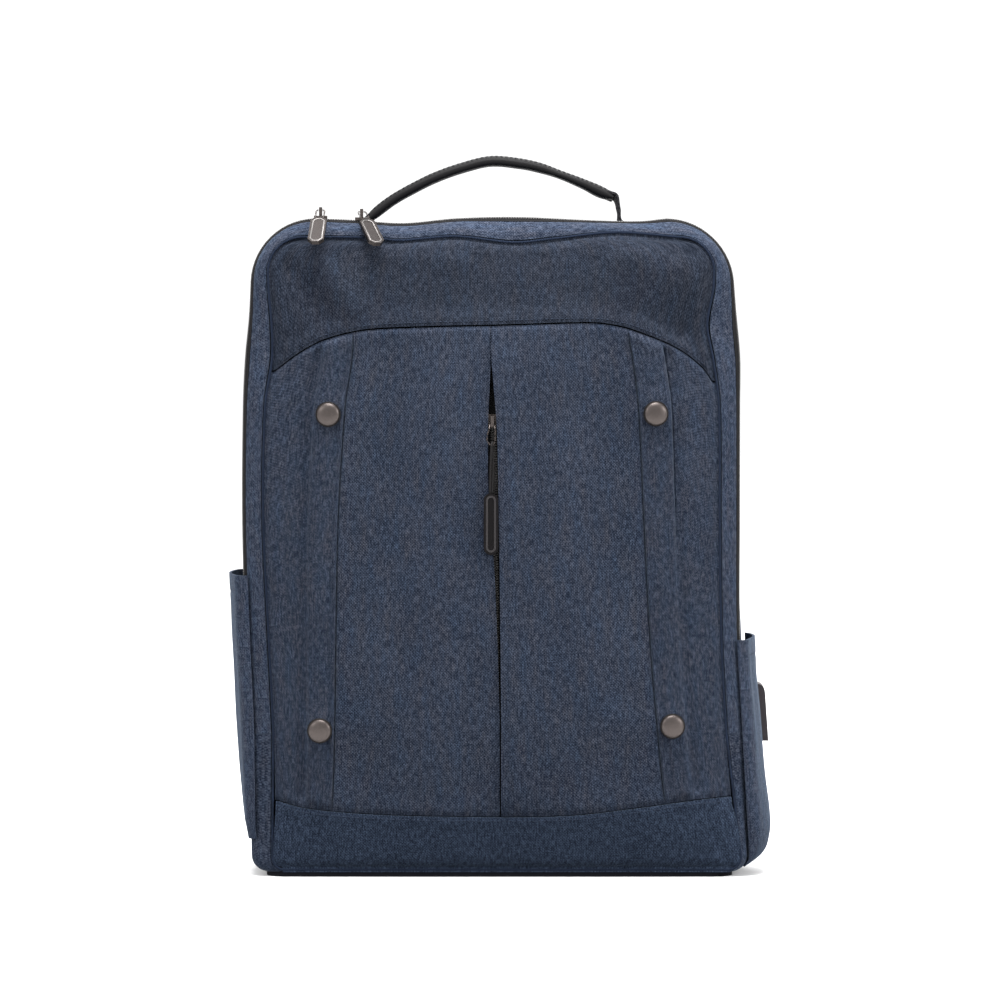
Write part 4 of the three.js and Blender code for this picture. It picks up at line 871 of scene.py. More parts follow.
def finish_piece(piece, look, node, body=BAG):
    """Material, hidden CAD node and body of a piece that stands for a CAD node."""
    if look:
        piece.data.materials.clear()
        piece.data.materials.append(material(look))
    if node:
        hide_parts(*([node] if isinstance(node, str) else node))
    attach(piece, body)
    return piece


def apply_modifier(piece, kind, **values):
    modifier = piece.modifiers.new(kind.title(), kind)
    for name, value in values.items():
        setattr(modifier, name, value)
    choose(piece)
    bpy.ops.object.modifier_apply(modifier=modifier.name)
    deselect()


def smooth_shade(piece, angle=None):
    choose(piece)
    if angle is None:
        bpy.ops.object.shade_smooth()
    else:
        bpy.ops.object.shade_smooth_by_angle(angle=math.radians(angle))
    deselect()


def cloth_piece(name, rows, wall, look, centre=BODY_CENTRE, warp_along_rows=False):
    """A sheet of cloth whose outer face runs through the rows of points."""
    piece = grid_mesh(name, rows, centre, warp_along_rows=warp_along_rows)
    apply_modifier(piece, "SOLIDIFY", thickness=wall * MM, offset=-1, use_even_offset=True)
    smooth_shade(piece, 50)
    return finish_piece(piece, look, name.removesuffix("_cloth"))


def ripple(x, y, z, size, seed):
    """Smooth noise from -1 to 1 with features of a size in millimetres."""
    return noise.noise(Vector((x / size + seed * 7.3, y / size - seed * 3.1, z / size + seed)))


def strewn(name, master, places):
    """One mesh with a copy of the master's mesh at each place, given as matrices in metres."""
    source = master.data
    points = [vertex.co.copy() for vertex in source.vertices]
    faces = [list(face.vertices) for face in source.polygons]
    all_points = []
    all_faces = []
    for place in places:
        first = len(all_points)
        all_points += [place @ point for point in points]
        all_faces += [[first + index for index in face] for face in faces]
    mesh = bpy.data.meshes.new(name)
    mesh.from_pydata(all_points, [], all_faces)
    piece = bpy.data.objects.new(name, mesh)
    bpy.context.scene.collection.objects.link(piece)
    return piece


def frame_matrix(point, run, lift):
    """Place of a copy: X along run, Z along lift, at a point in millimetres."""
    x = run.normalized()
    y = lift.cross(x).normalized()
    z = x.cross(y)
    turn = Matrix((x, y, z)).transposed().to_4x4()
    return Matrix.Translation(point * MM) @ turn


def stitch_places(points, lifts, spacing, share=0.5):
    """Places of stitches at even steps along a line of points."""
    places = []
    length = 0.0
    following = spacing * share
    for i in range(len(points) - 1):
        run = points[i + 1] - points[i]
        step = run.length
        while step > 0 and following <= length + step:
            at = (following - length) / step
            place = points[i].lerp(points[i + 1], at)
            places.append(frame_matrix(place, run, lifts[i].lerp(lifts[i + 1], at)))
            following += spacing
        length += step
    return places


def make_master(kind, size, bevel):
    """A small part to copy: a stitch or a zip tooth, with its size in millimetres."""
    deselect()
    if kind == "stitch":
        bpy.ops.mesh.primitive_uv_sphere_add(segments=6, ring_count=5, radius=0.5)
    else:
        bpy.ops.mesh.primitive_cube_add(size=1)
    master = bpy.context.object
    bpy.ops.object.mode_set(mode="EDIT")
    bpy.ops.mesh.select_all(action="SELECT")
    if kind == "stitch":
        bpy.ops.transform.rotate(value=math.pi / 2, orient_axis="Y", center_override=(0, 0, 0))
    bpy.ops.transform.resize(value=[side * MM for side in size], center_override=(0, 0, 0))
    if bevel:
        bpy.ops.mesh.bevel(offset=bevel * MM, segments=2, affect="EDGES")
    bpy.ops.object.mode_set(mode="OBJECT")
    return master


def sew(name, lines, look="thread", length=2.3, thick=0.55):
    """Stitches along several lines of (points, lifts)."""
    master = make_master("stitch", (length, thick, thick), 0)
    places = []
    for points, lifts in lines:
        places += stitch_places(points, lifts, sizes().stitch / MM)
    piece = strewn(name, master, places)
    bpy.data.objects.remove(master)
    smooth_shade(piece)
    return finish_piece(piece, look, None)


def smooth_path(points, steps):
    """Evenly spaced points on a centripetal Catmull-Rom curve."""
    ends = [points[0] * 2 - points[1], *points, points[-1] * 2 - points[-2]]
    dense = []
    for i in range(1, len(ends) - 2):
        p0, p1, p2, p3 = ends[i - 1:i + 3]
        t1 = max((p1 - p0).length, 1e-6) ** 0.5
        t2 = t1 + max((p2 - p1).length, 1e-6) ** 0.5
        t3 = t2 + max((p3 - p2).length, 1e-6) ** 0.5
        for k in range(24):
            t = lerp(t1, t2, k / 24)
            a1 = p0.lerp(p1, t / t1)
            a2 = p1.lerp(p2, (t - t1) / (t2 - t1))
            a3 = p2.lerp(p3, (t - t2) / (t3 - t2))
            b1 = a1.lerp(a2, t / t2)
            b2 = a2.lerp(a3, (t - t1) / (t3 - t1))
            dense.append(b1.lerp(b2, (t - t1) / (t2 - t1)))
    dense.append(points[-1].copy())
    return spaced(dense, steps)


def spaced(dense, steps):
    """Points at even steps along a line."""
    lengths = [0.0]
    for a, b in zip(dense, dense[1:]):
        lengths.append(lengths[-1] + (b - a).length)
    found = []
    i = 0
    for k in range(steps + 1):
        goal = lengths[-1] * k / steps
        while i < len(dense) - 2 and lengths[i + 1] < goal:
            i += 1
        span = max(lengths[i + 1] - lengths[i], 1e-9)
        found.append(dense[i].lerp(dense[i + 1], clamp((goal - lengths[i]) / span, 0, 1)))
    return found


def curve_piece(name, points, radius, cyclic=False, resolution=4):
    """A round cord along points in millimetres."""
    curve = bpy.data.curves.new(name, "CURVE")
    curve.dimensions = "3D"
    curve.bevel_depth = radius * MM
    curve.bevel_resolution = resolution
    curve.use_fill_caps = not cyclic
    spline = curve.splines.new("POLY")
    spline.points.add(len(points) - 1)
    for target, point in zip(spline.points, points):
        target.co = (*(point * MM), 1)
    spline.use_cyclic_u = cyclic
    piece = bpy.data.objects.new(name, curve)
    bpy.context.scene.collection.objects.link(piece)
    return piece


def tube_piece(name, points, radius, look, node, cyclic=False):
    """A round cord as a mesh."""
    piece = curve_piece(name, points, radius, cyclic, 3)
    choose(piece)
    bpy.ops.object.convert(target="MESH")
    smooth_shade(piece, 50)
    return finish_piece(piece, look, node)


def strap_rows(path, across, widths, thicknesses, squareness, sides):
    """Rings of a strap along a path. squareness 2 gives an ellipse and more gives flatter faces."""
    rows = []
    last = len(path) - 1
    for i, point in enumerate(path):
        run = (path[min(i + 1, last)] - path[max(i - 1, 0)]).normalized()
        side = (across[i] - run * across[i].dot(run)).normalized()
        lift = run.cross(side)
        ring = []
        for k in range(sides):
            angle = k / sides * math.tau
            c = math.cos(angle)
            s = math.sin(angle)
            x = math.copysign(abs(c) ** (2 / squareness), c) * widths[i] / 2
            y = math.copysign(abs(s) ** (2 / squareness), s) * thicknesses[i] / 2
            ring.append(point + side * x + lift * y)
        rows.append(ring)
    return rows


def closed_piece(name, rows, look, node, angle=45):
    """A closed form through rings of points, with its ends filled."""
    piece = grid_mesh(name, rows, closed=True)
    choose(piece)
    bpy.ops.object.mode_set(mode="EDIT")
    bpy.ops.mesh.select_all(action="DESELECT")
    bpy.ops.mesh.select_non_manifold()
    bpy.ops.mesh.edge_face_add()
    bpy.ops.mesh.select_all(action="SELECT")
    bpy.ops.mesh.normals_make_consistent(inside=False)
    bpy.ops.object.mode_set(mode="OBJECT")
    smooth_shade(piece, angle)
    return finish_piece(piece, look, node)


# Camera: what it aims at and its distance in metres, its rise in degrees, and a pixel's size on the front
# in millimetres
CAMERA_AIM = (0.0057, -0.062, 0.2405)
CAMERA_DISTANCE = 5.0
CAMERA_RISE = 3.3
PIXEL_SIZE = 0.633
SENSOR_WIDTH = 36

# Strength of the world from above and from below the horizon, and the rises between which it changes
WORLD_ABOVE = 1.15
WORLD_BELOW = 0.2
WORLD_RISES = (-0.16, -0.08)

FLOOR_SIZE = 14

# Soft lamps: place and height aimed at in metres, side in metres and power in watts
LAMPS = [
    {"name": "overhead", "place": (0.0, -0.4, 2.3), "side": 1.2, "watts": 100, "aim": 0.2},
    {"name": "key", "place": (-2.0, -1.4, 1.5), "side": 0.9, "watts": 27, "aim": 0.22},
    {"name": "fill", "place": (2.2, -1.1, 1.2), "side": 1.0, "watts": 44, "aim": 0.22},
    {"name": "rear", "place": (0.3, 2.2, 1.9), "side": 1.6, "watts": 24, "aim": 0.3},
]


class BACKPACK_OT_stage(bpy.types.Operator):
    """Camera at the photograph's angle, pale floor and soft studio light"""
    bl_idname = "backpack.stage"
    bl_label = "Stage"

    def execute(self, context):
        scene = context.scene
        scene.view_settings.view_transform = "Standard"
        rise = math.radians(CAMERA_RISE)
        lens = bpy.data.cameras.new("camera")
        lens.sensor_width = SENSOR_WIDTH
        lens.lens = SENSOR_WIDTH * CAMERA_DISTANCE / PIXEL_SIZE
        camera = bpy.data.objects.new("camera", lens)
        camera.location = Vector(CAMERA_AIM) + Vector((0, -math.cos(rise), math.sin(rise))) * CAMERA_DISTANCE
        camera.rotation_euler = (math.pi / 2 - rise, 0, 0)
        scene.collection.objects.link(camera)
        scene.camera = camera

        world = bpy.data.worlds.new("studio")
        world.use_nodes = True
        background = world.node_tree.nodes["Background"]
        direction = world.node_tree.nodes.new("ShaderNodeTexCoord").outputs["Generated"]
        split = world.node_tree.nodes.new("ShaderNodeSeparateXYZ")
        world.node_tree.links.new(direction, split.inputs["Vector"])
        upwards = world.node_tree.nodes.new("ShaderNodeMapRange")
        upwards.inputs["From Min"].default_value = WORLD_RISES[0]
        upwards.inputs["From Max"].default_value = WORLD_RISES[1]
        upwards.inputs["To Min"].default_value = WORLD_BELOW
        upwards.inputs["To Max"].default_value = WORLD_ABOVE
        world.node_tree.links.new(split.outputs["Z"], upwards.inputs["Value"])
        world.node_tree.links.new(upwards.outputs["Result"], background.inputs["Strength"])
        background.inputs["Color"].default_value = (1, 1, 1, 1)
        scene.world = world

        deselect()
        bpy.ops.mesh.primitive_plane_add(size=FLOOR_SIZE, location=(0, FLOOR_SIZE / 4, 0))
        floor = context.object
        floor.name = "floor"
        made, shader = new_material("floor", 0.9)
        shader.inputs["Base Color"].default_value = (*colours().floor, 1)
        shader.inputs["Specular IOR Level"].default_value = 0.1
        floor.data.materials.append(made)
        floor.visible_diffuse = False

        for facts in LAMPS:
            light = bpy.data.lights.new(facts["name"], "AREA")
            light.size = facts["side"]
            light.energy = facts["watts"]
            lamp = bpy.data.objects.new(facts["name"], light)
            lamp.location = facts["place"]
            target = Vector((0, 0, facts["aim"]))
            lamp.rotation_euler = (target - Vector(facts["place"])).to_track_quat("-Z", "Y").to_euler()
            scene.collection.objects.link(lamp)
        return {"FINISHED"}


def ring_foot():
    z = CENTRE_SLIDER_HEIGHT - RING_LENGTH
    return off_front(across_at(slit_middle(), z), z, WIRE_RADIUS * 2 + GAP * 3)


class BACKPACK_OT_cord(bpy.types.Operator):
    """Loop of thin cord between the centre zip's ring and its grip"""
    bl_idname = "backpack.cord"
    bl_label = "Puller cord"

    def execute(self, context):
        foot = ring_foot()
        top = off_front(0, GRIP_TOP, GRIP_THICKNESS / 2 + GAP * 2)
        spacing = (CORD_RADIUS + GAP) * 0.6
        over = WIRE_RADIUS + CORD_RADIUS + GAP

        def strand(sign):
            return [Vector((
                lerp(top.x, foot.x, row["up"]) + sign * row["apart"] * spacing,
                lerp(top.y, foot.y, row["up"]) + sign * lerp(GAP, over, row["forward"]),
                lerp(top.z + GAP, foot.z, row["up"]),
            )) for row in STRAND]

        crest = foot + Vector((0, 0, over))
        route = smooth_path([*strand(-1), crest, *reversed(strand(1))], 60)
        piece = curve_piece("cord_loop", route, CORD_RADIUS)
        finish_piece(piece, "cord", "puller_cord")
        return {"FINISHED"}


CREASE_DEPTH = 1.7
# Distance of the stitching from a seam, and its height over the cloth, in millimetres
STITCH_INSET = 2.6
STITCH_RISE = 0.15
# How far the front's cloth reaches over the piping, as a share of half the width and in millimetres
EDGE_REACH = 0.0095
EDGE_COVER = 1.4
FOOT_COVER = 3.4


def snap_place(snap):
    """Place across and height of a snap, between its pleat's two folds."""
    z = snap["up"] * BODY_HEIGHT
    inner = pleat_at(snap["pleat"], "inner", z)
    outer = pleat_at(snap["pleat"], "outer", z)
    return (inner + outer) / 2, z


SNAP_POINTS = [front_point(*snap_place(snap)) for snap in SNAPS]


def calm(point):
    """0 under a snap, where the cloth is clamped flat, and 1 away from it."""
    nearest = min((point - centre).length for centre in SNAP_POINTS)
    return smooth(nearest, SNAP_RADIUS, SNAP_RADIUS * 2.4)


def pleat_relief(across, z):
    """Height of a sewn pleat: a crisp crease at its inner fold and a soft valley past its outer one."""
    pleat = PLEATS[0] if across < 0 else PLEATS[1]
    sign = -1 if across < 0 else 1
    from_inner = (across - pleat_at(pleat, "inner", z)) * sign * HALF_WIDTH
    from_outer = (across - pleat_at(pleat, "outer", z)) * sign * HALF_WIDTH
    crispness = pleat["outerCrisp"] * smooth(z, 190, 250)
    outer_fall = smooth(from_outer, lerp(-3.5, -0.8, crispness), 0.6)
    lift = PLEAT_HEIGHT * smooth(from_inner, 0, 1.4) * (1 - outer_fall)
    crease = -CREASE_DEPTH * math.exp(-((from_inner + 0.1) / 0.42) ** 2)
    sink = -1.0 * math.exp(-((from_inner - 4.5) / 3.2) ** 2)
    valley = -2.0 * math.exp(-((from_outer - 2.5) / 4.5) ** 2)
    valley -= 1.1 * crispness * math.exp(-((from_outer - 0.5) / 0.6) ** 2)
    return lift + (crease + sink * smooth(abs(from_inner), 0, 3)) + valley * smooth(from_outer, -4, 1)


def front_folds(across, z):
    """Soft folds of the front, inwards from the CAD's surface, in millimetres."""
    point = front_point(across, z)
    amount = sizes().wrinkle / MM
    broad = 0.5 + 0.5 * ripple(point.x, 0, z * 0.5, 42, 1)
    small = 0.5 + 0.5 * ripple(point.x, 0, z * 0.7, 17, 2)
    slanting = 0.5 + 0.5 * ripple(point.x + z * 0.8, 0, (z - point.x) * 0.3, 30, 3)
    edge = smooth(1 - abs(across), 0, 0.08)
    waves = -amount * (broad * 0.9 + small * 0.24 + slanting * 0.5)
    return (waves + drawn_folds(point.x, z)) * edge * calm(point)


def drawn_folds(x, z):
    """Height of the folds drawn on the front, in millimetres."""
    height = 0.0
    for fold in FOLDS:
        start = Vector(fold["start"])
        run = Vector(fold["end"]) - start
        away = Vector((x, z)) - start
        share = away.dot(run) / run.length_squared
        nearest = run * clamp(share, 0, 1)
        height += fold["height"] * math.exp(-((away - nearest).length / fold["width"]) ** 2)
    return height


def seam_dip(distance, x, z, depth=0.8, reach=2.4):
    """Cloth drawn in along a seam, with small puckers."""
    pucker = 0.35 * ripple(x, 0, z, 5, 4) * math.exp(-(distance / 7) ** 2)
    return -depth * math.exp(-(distance / reach) ** 2) + pucker * (1 - math.exp(-(distance / 1.5) ** 2))


def crowded(share, crowding):
    """A share moved towards the nearer end, so that even steps crowd together at both ends."""
    return share - crowding * math.sin(math.tau * share) / math.tau


def front_rows(lines, counts, low, high, up_steps, relief):
    """A piece of the front between two seams. Its columns crowd together at each of the upright lines."""
    columns = []
    for k, count in enumerate(counts):
        for j in range(count):
            columns.append((lines[k], lines[k + 1], crowded(j / count, 0.9)))
    columns.append((lines[-2], lines[-1], 1))
    rows = []
    for i in range(up_steps + 1):
        up = crowded(i / up_steps, 0.7)
        row = []
        for first, last, share in columns:
            z = BODY_HEIGHT / 2
            for _ in range(3):
                across = lerp(first(z), last(z), share)
                z = lerp(low(across), high(across), up)
            row.append(off_front(across, z, relief(across, z)))
        rows.append(row)
    return rows


def left_edge(z):
    return -1 - EDGE_REACH


def right_edge(z):
    return 1 + EDGE_REACH


def fold_line(pleat, which):
    def place(z):
        return pleat_at(pleat, which, z)
    return place


def slit_line(side):
    def place(z):
        return slit_edge(side, z)
    return place


def panel_relief(side):
    """Relief of the left or right front panel."""
    def relief(across, z):
        x = front_point(across, z).x
        from_yoke = yoke_seam(across) - z
        from_band = z - band_seam(across)
        from_slit = abs(across - slit_edge(side, z)) * HALF_WIDTH
        from_side = (1 - abs(across)) * HALF_WIDTH
        sewn = smooth(min(from_yoke, from_band), 0, 7)
        height = pleat_relief(across, z) * sewn
        if side == "right":
            flap = (1 - smooth(from_slit, 0, 70)) * smooth(from_yoke, 0, 26) * smooth(from_band, 0, 12)
            height += FLAP_HEIGHT * flap
            height += 0.5 * (1 - smooth(from_slit, 6.2, 7.2)) * smooth(from_yoke, 1, 8)
        folds = front_folds(across, z) * smooth(min(from_yoke, from_band), 0, 16) * smooth(from_slit, 2, 20)
        dip = seam_dip(from_yoke, x, z, 1.3) + seam_dip(from_band, x, z + 300, 1.0)
        return height + folds + dip + seam_dip(from_side, z, x, 0.6)
    return relief


def yoke_relief(across, z):
    x = front_point(across, z).x
    from_seam = z - yoke_seam(across)
    from_top = front_top(across) - z
    from_side = (1 - abs(across)) * HALF_WIDTH
    fold = 1.1 * math.hypot(ripple(x * 0.6 + z * 0.5, 0, (z - x * 0.5) * 0.9, 26, 5), 0.15)
    calm_share = smooth(min(from_seam, from_top), 0, 14) * smooth(from_side, 0, 12)
    folds = front_folds(across, z) - fold * 0.8
    dip = seam_dip(from_seam, x, z, 0.3) + seam_dip(from_top, x, z, 0.7) + seam_dip(from_side, z, x, 0.6)
    return folds * calm_share + dip


def band_relief(across, z):
    x = front_point(across, z).x
    from_seam = band_seam(across) - z
    from_foot = z - FOOT_HEIGHT - FRONT_INSET
    creases = abs(ripple(x * 1.4 - z * 1.3, 0, (z + x) * 0.35, 13, 6)) * smooth(across, 0.72, 0.95)
    folds = front_folds(across, z) * smooth(min(from_seam, from_foot), 0, 12)
    dip = seam_dip(from_seam, x, z, 0.3) + seam_dip(from_foot, x, z, 0.6)
    return folds - creases * smooth(from_foot, 0, 10) + dip


def front_line(place, z_of, start, end, steps, off):
    """Points and normals along a line on the front."""
    points = []
    lifts = []
    for i in range(steps + 1):
        share = lerp(start, end, i / steps)
        across, z = place(share), z_of(share)
        lift = front_normal(across, z)
        points.append(front_point(across, z) + lift * off(across, z))
        lifts.append(lift)
    return points, lifts


class BACKPACK_OT_front(bpy.types.Operator):
    """Yoke, pleated front panels and base band, with their stitching"""
    bl_idname = "backpack.front"
    bl_label = "Front"

    def execute(self, context):
        def panel_foot(across):
            return band_seam(across) + SEAM_GAP / 2

        def panel_top(across):
            return yoke_seam(across) - SEAM_GAP

        def yoke_foot(across):
            return yoke_seam(across) + SEAM_GAP / 2

        def yoke_top(across):
            return front_top(across) + EDGE_COVER

        def band_foot(across):
            return FOOT_HEIGHT + FRONT_INSET - FOOT_COVER

        def band_top(across):
            return band_seam(across) - SEAM_GAP / 2

        # The panels, yoke and band take darker copies of the cloth, as painted shade.
        folds = [left_edge, fold_line(PLEATS[0], "outer"), fold_line(PLEATS[0], "inner"), slit_line("left")]
        left = front_rows(folds, (26, 34, 90), panel_foot, panel_top, 170, panel_relief("left"))
        piece = cloth_piece("front_panel_left_cloth", left, CLOTH_WALL, "panel_cloth")
        folds = [slit_line("right"), fold_line(PLEATS[1], "inner"), fold_line(PLEATS[1], "outer"), right_edge]
        right = front_rows(folds, (90, 34, 26), panel_foot, panel_top, 170, panel_relief("right"))
        piece = cloth_piece("front_panel_right_cloth", right, CLOTH_WALL, "panel_cloth")
        yoke = front_rows([left_edge, right_edge], (240,), yoke_foot, yoke_top, 80, yoke_relief)
        piece = cloth_piece("yoke_panel_cloth", yoke, CLOTH_WALL, "yoke_cloth")
        band = front_rows([left_edge, right_edge], (240,), band_foot, band_top, 48, band_relief)
        piece = cloth_piece("base_band_cloth", band, CLOTH_WALL, "band_cloth")

        lines = []
        lines.append(front_line(lambda a: a, lambda a: yoke_seam(a) + STITCH_INSET, -0.97, 0.97, 160,
                                lambda a, z: yoke_relief(a, z) + STITCH_RISE))
        lines.append(front_line(lambda a: a, lambda a: band_seam(a) - STITCH_INSET, -0.96, 0.96, 160,
                                lambda a, z: band_relief(a, z) + STITCH_RISE))
        for pleat, side in zip(PLEATS, ("left", "right")):
            sign = -1 if side == "left" else 1
            relief = panel_relief(side)
            for which, shift in (("inner", 0.02), ("outer", -0.03)):

                def place(z):
                    return pleat_at(pleat, which, z) + shift * sign

                foot_z = band_seam(place(60)) + 5
                top_z = yoke_seam(place(340)) - 5
                lines.append(front_line(place, lambda z: z, foot_z, top_z, 120,
                                        lambda a, z: relief(a, z) + STITCH_RISE))
        relief = panel_relief("right")
        lines.append(front_line(lambda z: slit_edge("right", z) + 0.037, lambda z: z, 46,
                                yoke_seam(0) - 4, 150, lambda a, z: relief(a, z) + STITCH_RISE))
        sew("front_stitches", lines)
        return {"FINISHED"}


# The piping's cord shows as a share of its radius, sunk by a depth in millimetres
PIPING_SHOWN = 0.75
PIPING_SUNK = 0.7


class BACKPACK_OT_piping(bpy.types.Operator):
    """Piped seam round the front"""
    bl_idname = "backpack.piping"
    bl_label = "Front piping"

    def execute(self, context):
        inset = PIPING_RADIUS + GAP / 2
        rim = section_rim(FRONT, inset)
        steps = 60
        first, last = rim[0], rim[-1]
        rim += [Vector((lerp(last.x, first.x, i / steps), FOOT_HEIGHT + inset)) for i in range(1, steps)]
        path = [Vector((point.x, seam_y(point.y) + PIPING_SUNK, point.y)) for point in rim]
        tube_piece("piping_cord", path, PIPING_RADIUS * PIPING_SHOWN, "piping", "front_piping",
                   cyclic=True)
        return {"FINISHED"}


def zip_front(row):
    """Depth of the main zip's front edge, which ends above the side pockets."""
    return ZIP_SHARE + (-ZIP_HALF_SHARE if row >= ZIP_END_ROW else ZIP_HALF_SHARE)


def gusset_rows(depths, relief, first=0):
    """A strip of the gusset. Each depth is a function of the row counted up from either foot."""
    rows = []
    for i, depth_of in enumerate(depths):
        row = []
        for j in range(first, RIM_COUNT - first):
            depth = depth_of(min(j, RIM_COUNT - 1 - j))
            point = gusset_point(depth, j)
            off = relief(i / (len(depths) - 1), depth, point)
            row.append(point + gusset_normal(depth, j) * off if off else point)
        rows.append(row)
    return rows


def rim_line(depth, first, off):
    """Points and normals along the gusset at one depth."""
    points = []
    lifts = []
    for j in range(first, RIM_COUNT - first):
        normal = gusset_normal(depth, j)
        points.append(gusset_point(depth, j) + normal * off)
        lifts.append(normal)
    return points, lifts


def rear_relief(share, depth, point):
    """Soft waves of the side and top walls, inwards."""
    amount = sizes().wrinkle / MM
    edge = smooth(share, 0, 0.12) * smooth(1 - share, 0, 0.12)
    foot = smooth(point.z, FOOT_HEIGHT, 40)
    waves = 0.5 + 0.5 * ripple(point.x * 0.6, point.y, point.z * 0.6, 55, 8)
    small = 0.5 + 0.5 * ripple(point.x, point.y * 0.7, point.z, 21, 9)
    seams = seam_dip(share * 98, point.x, point.z, 0.5) + seam_dip((1 - share) * 98, point.x, point.z, 0.5)
    return -amount * (waves * 1.2 + small * 0.3) * edge * foot + seams


def front_gusset_relief(share, depth, point):
    crown = 0.5 * math.sin(math.pi * share)
    waves = 0.25 * ripple(point.x, point.y, point.z, 22, 10) * math.sin(math.pi * share)
    return crown + waves - 0.65 * math.exp(-(share * 8 / 0.9) ** 2)


class BACKPACK_OT_gussets(bpy.types.Operator):
    """Front gusset and rear gusset"""
    bl_idname = "backpack.gussets"
    bl_label = "Gussets"

    def execute(self, context):
        strips = [lambda row, s=i / 14: lerp(GAP_SHARE, zip_front(row) - GAP_SHARE, s) for i in range(15)]
        rows = gusset_rows(strips, front_gusset_relief)
        piece = cloth_piece("front_gusset_cloth", rows, CLOTH_WALL, "cloth",
                            warp_along_rows=True)
        back_edge = ZIP_SHARE + ZIP_HALF_SHARE + GAP_SHARE
        strips = [lambda row, s=i / 52: lerp(back_edge, 1, s) for i in range(53)]
        rows = gusset_rows(strips, rear_relief)
        piece = cloth_piece("rear_gusset_cloth", rows, CLOTH_WALL, "cloth",
                            warp_along_rows=True)
        lines = [rim_line(back_edge + 0.022, 2, -0.35), rim_line(0.972, 2, -0.4)]
        lines.append(rim_line(ZIP_SHARE - ZIP_HALF_SHARE - 0.014, ZIP_END_ROW + 2, 0.2))
        sew("gusset_stitches", lines)
        return {"FINISHED"}


TOOTH_SIZE = (1.15, 2.6, 0.7)
TOOTH_BEVEL = 0.2


class BACKPACK_OT_zips(bpy.types.Operator):
    """Tapes and teeth of the main zip and of the centre zip"""
    bl_idname = "backpack.zips"
    bl_label = "Zips"

    def execute(self, context):
        near = ZIP_SHARE - ZIP_HALF_SHARE
        far = ZIP_SHARE + ZIP_HALF_SHARE
        strips = [lambda row, s=i / 8: lerp(near, far, s) for i in range(9)]

        def tape_relief(share, depth, point):
            return -0.25 * math.sin(math.pi * share)

        tape = gusset_rows(strips, tape_relief, ZIP_END_ROW + 1)
        piece = cloth_piece("main_zip_cloth", tape, ZIP_WALL, "tape")

        master = make_master("tooth", TOOTH_SIZE, TOOTH_BEVEL)
        spacing = sizes().tooth / MM
        places = []
        for side, shift in ((-1, 0), (1, 0.5)):
            points, lifts = rim_line(ZIP_SHARE + side * 0.0095, ZIP_END_ROW + 2, -0.05)
            places += stitch_places(points, lifts, spacing, shift + 0.25)
        teeth = strewn("main_zip_teeth", master, places)
        finish_piece(teeth, "teeth", None)
        smooth_shade(teeth, 40)

        low = band_seam(0)
        high = yoke_seam(0)
        half = CENTRE_ZIP_WIDTH / 2 / HALF_WIDTH
        off = -(CLOTH_WALL + CENTRE_ZIP_RECESS)

        def middle(z):
            return across_at(read_table(SLIT, "right", z / BODY_HEIGHT) * HALF_WIDTH * 0.5, z)

        rows = []
        for i in range(81):
            z = lerp(low, high, i / 80)
            rows.append([off_front(middle(z) + lerp(-half, half, j / 12), z, off) for j in range(13)])
        piece = cloth_piece("centre_zip_cloth", rows, ZIP_WALL, "tape")
        places = []
        for side, shift in ((-1, 0), (1, 0.5)):
            points = []
            lifts = []
            for i in range(101):
                z = lerp(low + 2, CENTRE_SLIDER_HEIGHT - 4, i / 100)
                across = middle(z) + side * 0.007
                points.append(off_front(across, z, off + 0.25))
                lifts.append(front_normal(across, z))
            places += stitch_places(points, lifts, spacing, shift + 0.25)
        teeth = strewn("centre_zip_teeth", master, places)
        bpy.data.objects.remove(master)
        finish_piece(teeth, "teeth", None)
        smooth_shade(teeth, 40)
        return {"FINISHED"}


POCKETS = [
    {"side": "left", "foot": 24, "top": 192, "swell": 8, "table": LEFT_POCKET, "folds": 0.5},
    {"side": "right", "foot": 6, "top": 151, "swell": 15, "table": RIGHT_POCKET, "folds": 1.0},
]
POCKET_HEM = 11


def pocket_point(pocket, along, up, off):
    """A point on a side pocket, at a share of the way back and up, with its soft upright folds."""
    z = lerp(pocket["foot"], pocket["top"], up)
    depth = lerp(POCKET_FRONT_DEPTH, POCKET_BACK_DEPTH, along)
    swell = read_table(pocket["table"], "swell", up) * pocket["swell"]
    side = pocket["side"]
    bulge = swell * math.sin(math.pi * along) ** 0.5
    inside = smooth(along, 0.02, 0.2) * smooth(1 - along, 0.02, 0.2) * smooth(up, 0, 0.25)
    from_top = (1 - up) * (pocket["top"] - pocket["foot"])
    fold = 0.5 + 0.5 * ripple(along * 68 + z * 0.12, 0, z * 0.22, 14, 12)
    fold += 0.4 * abs(ripple(along * 68 - z * 0.3, 0, z * 0.5, 19, 13))
    fold *= 1 - 0.6 * (1 - smooth(from_top, POCKET_HEM - 4, POCKET_HEM + 12))
    groove = 0.45 * math.exp(-((from_top - POCKET_HEM) / 1.3) ** 2)
    away = bulge + off - (fold * pocket["folds"] * 1.3) * inside - groove * inside
    return side_point(depth, side, z) + side_normal(depth, side, z) * away


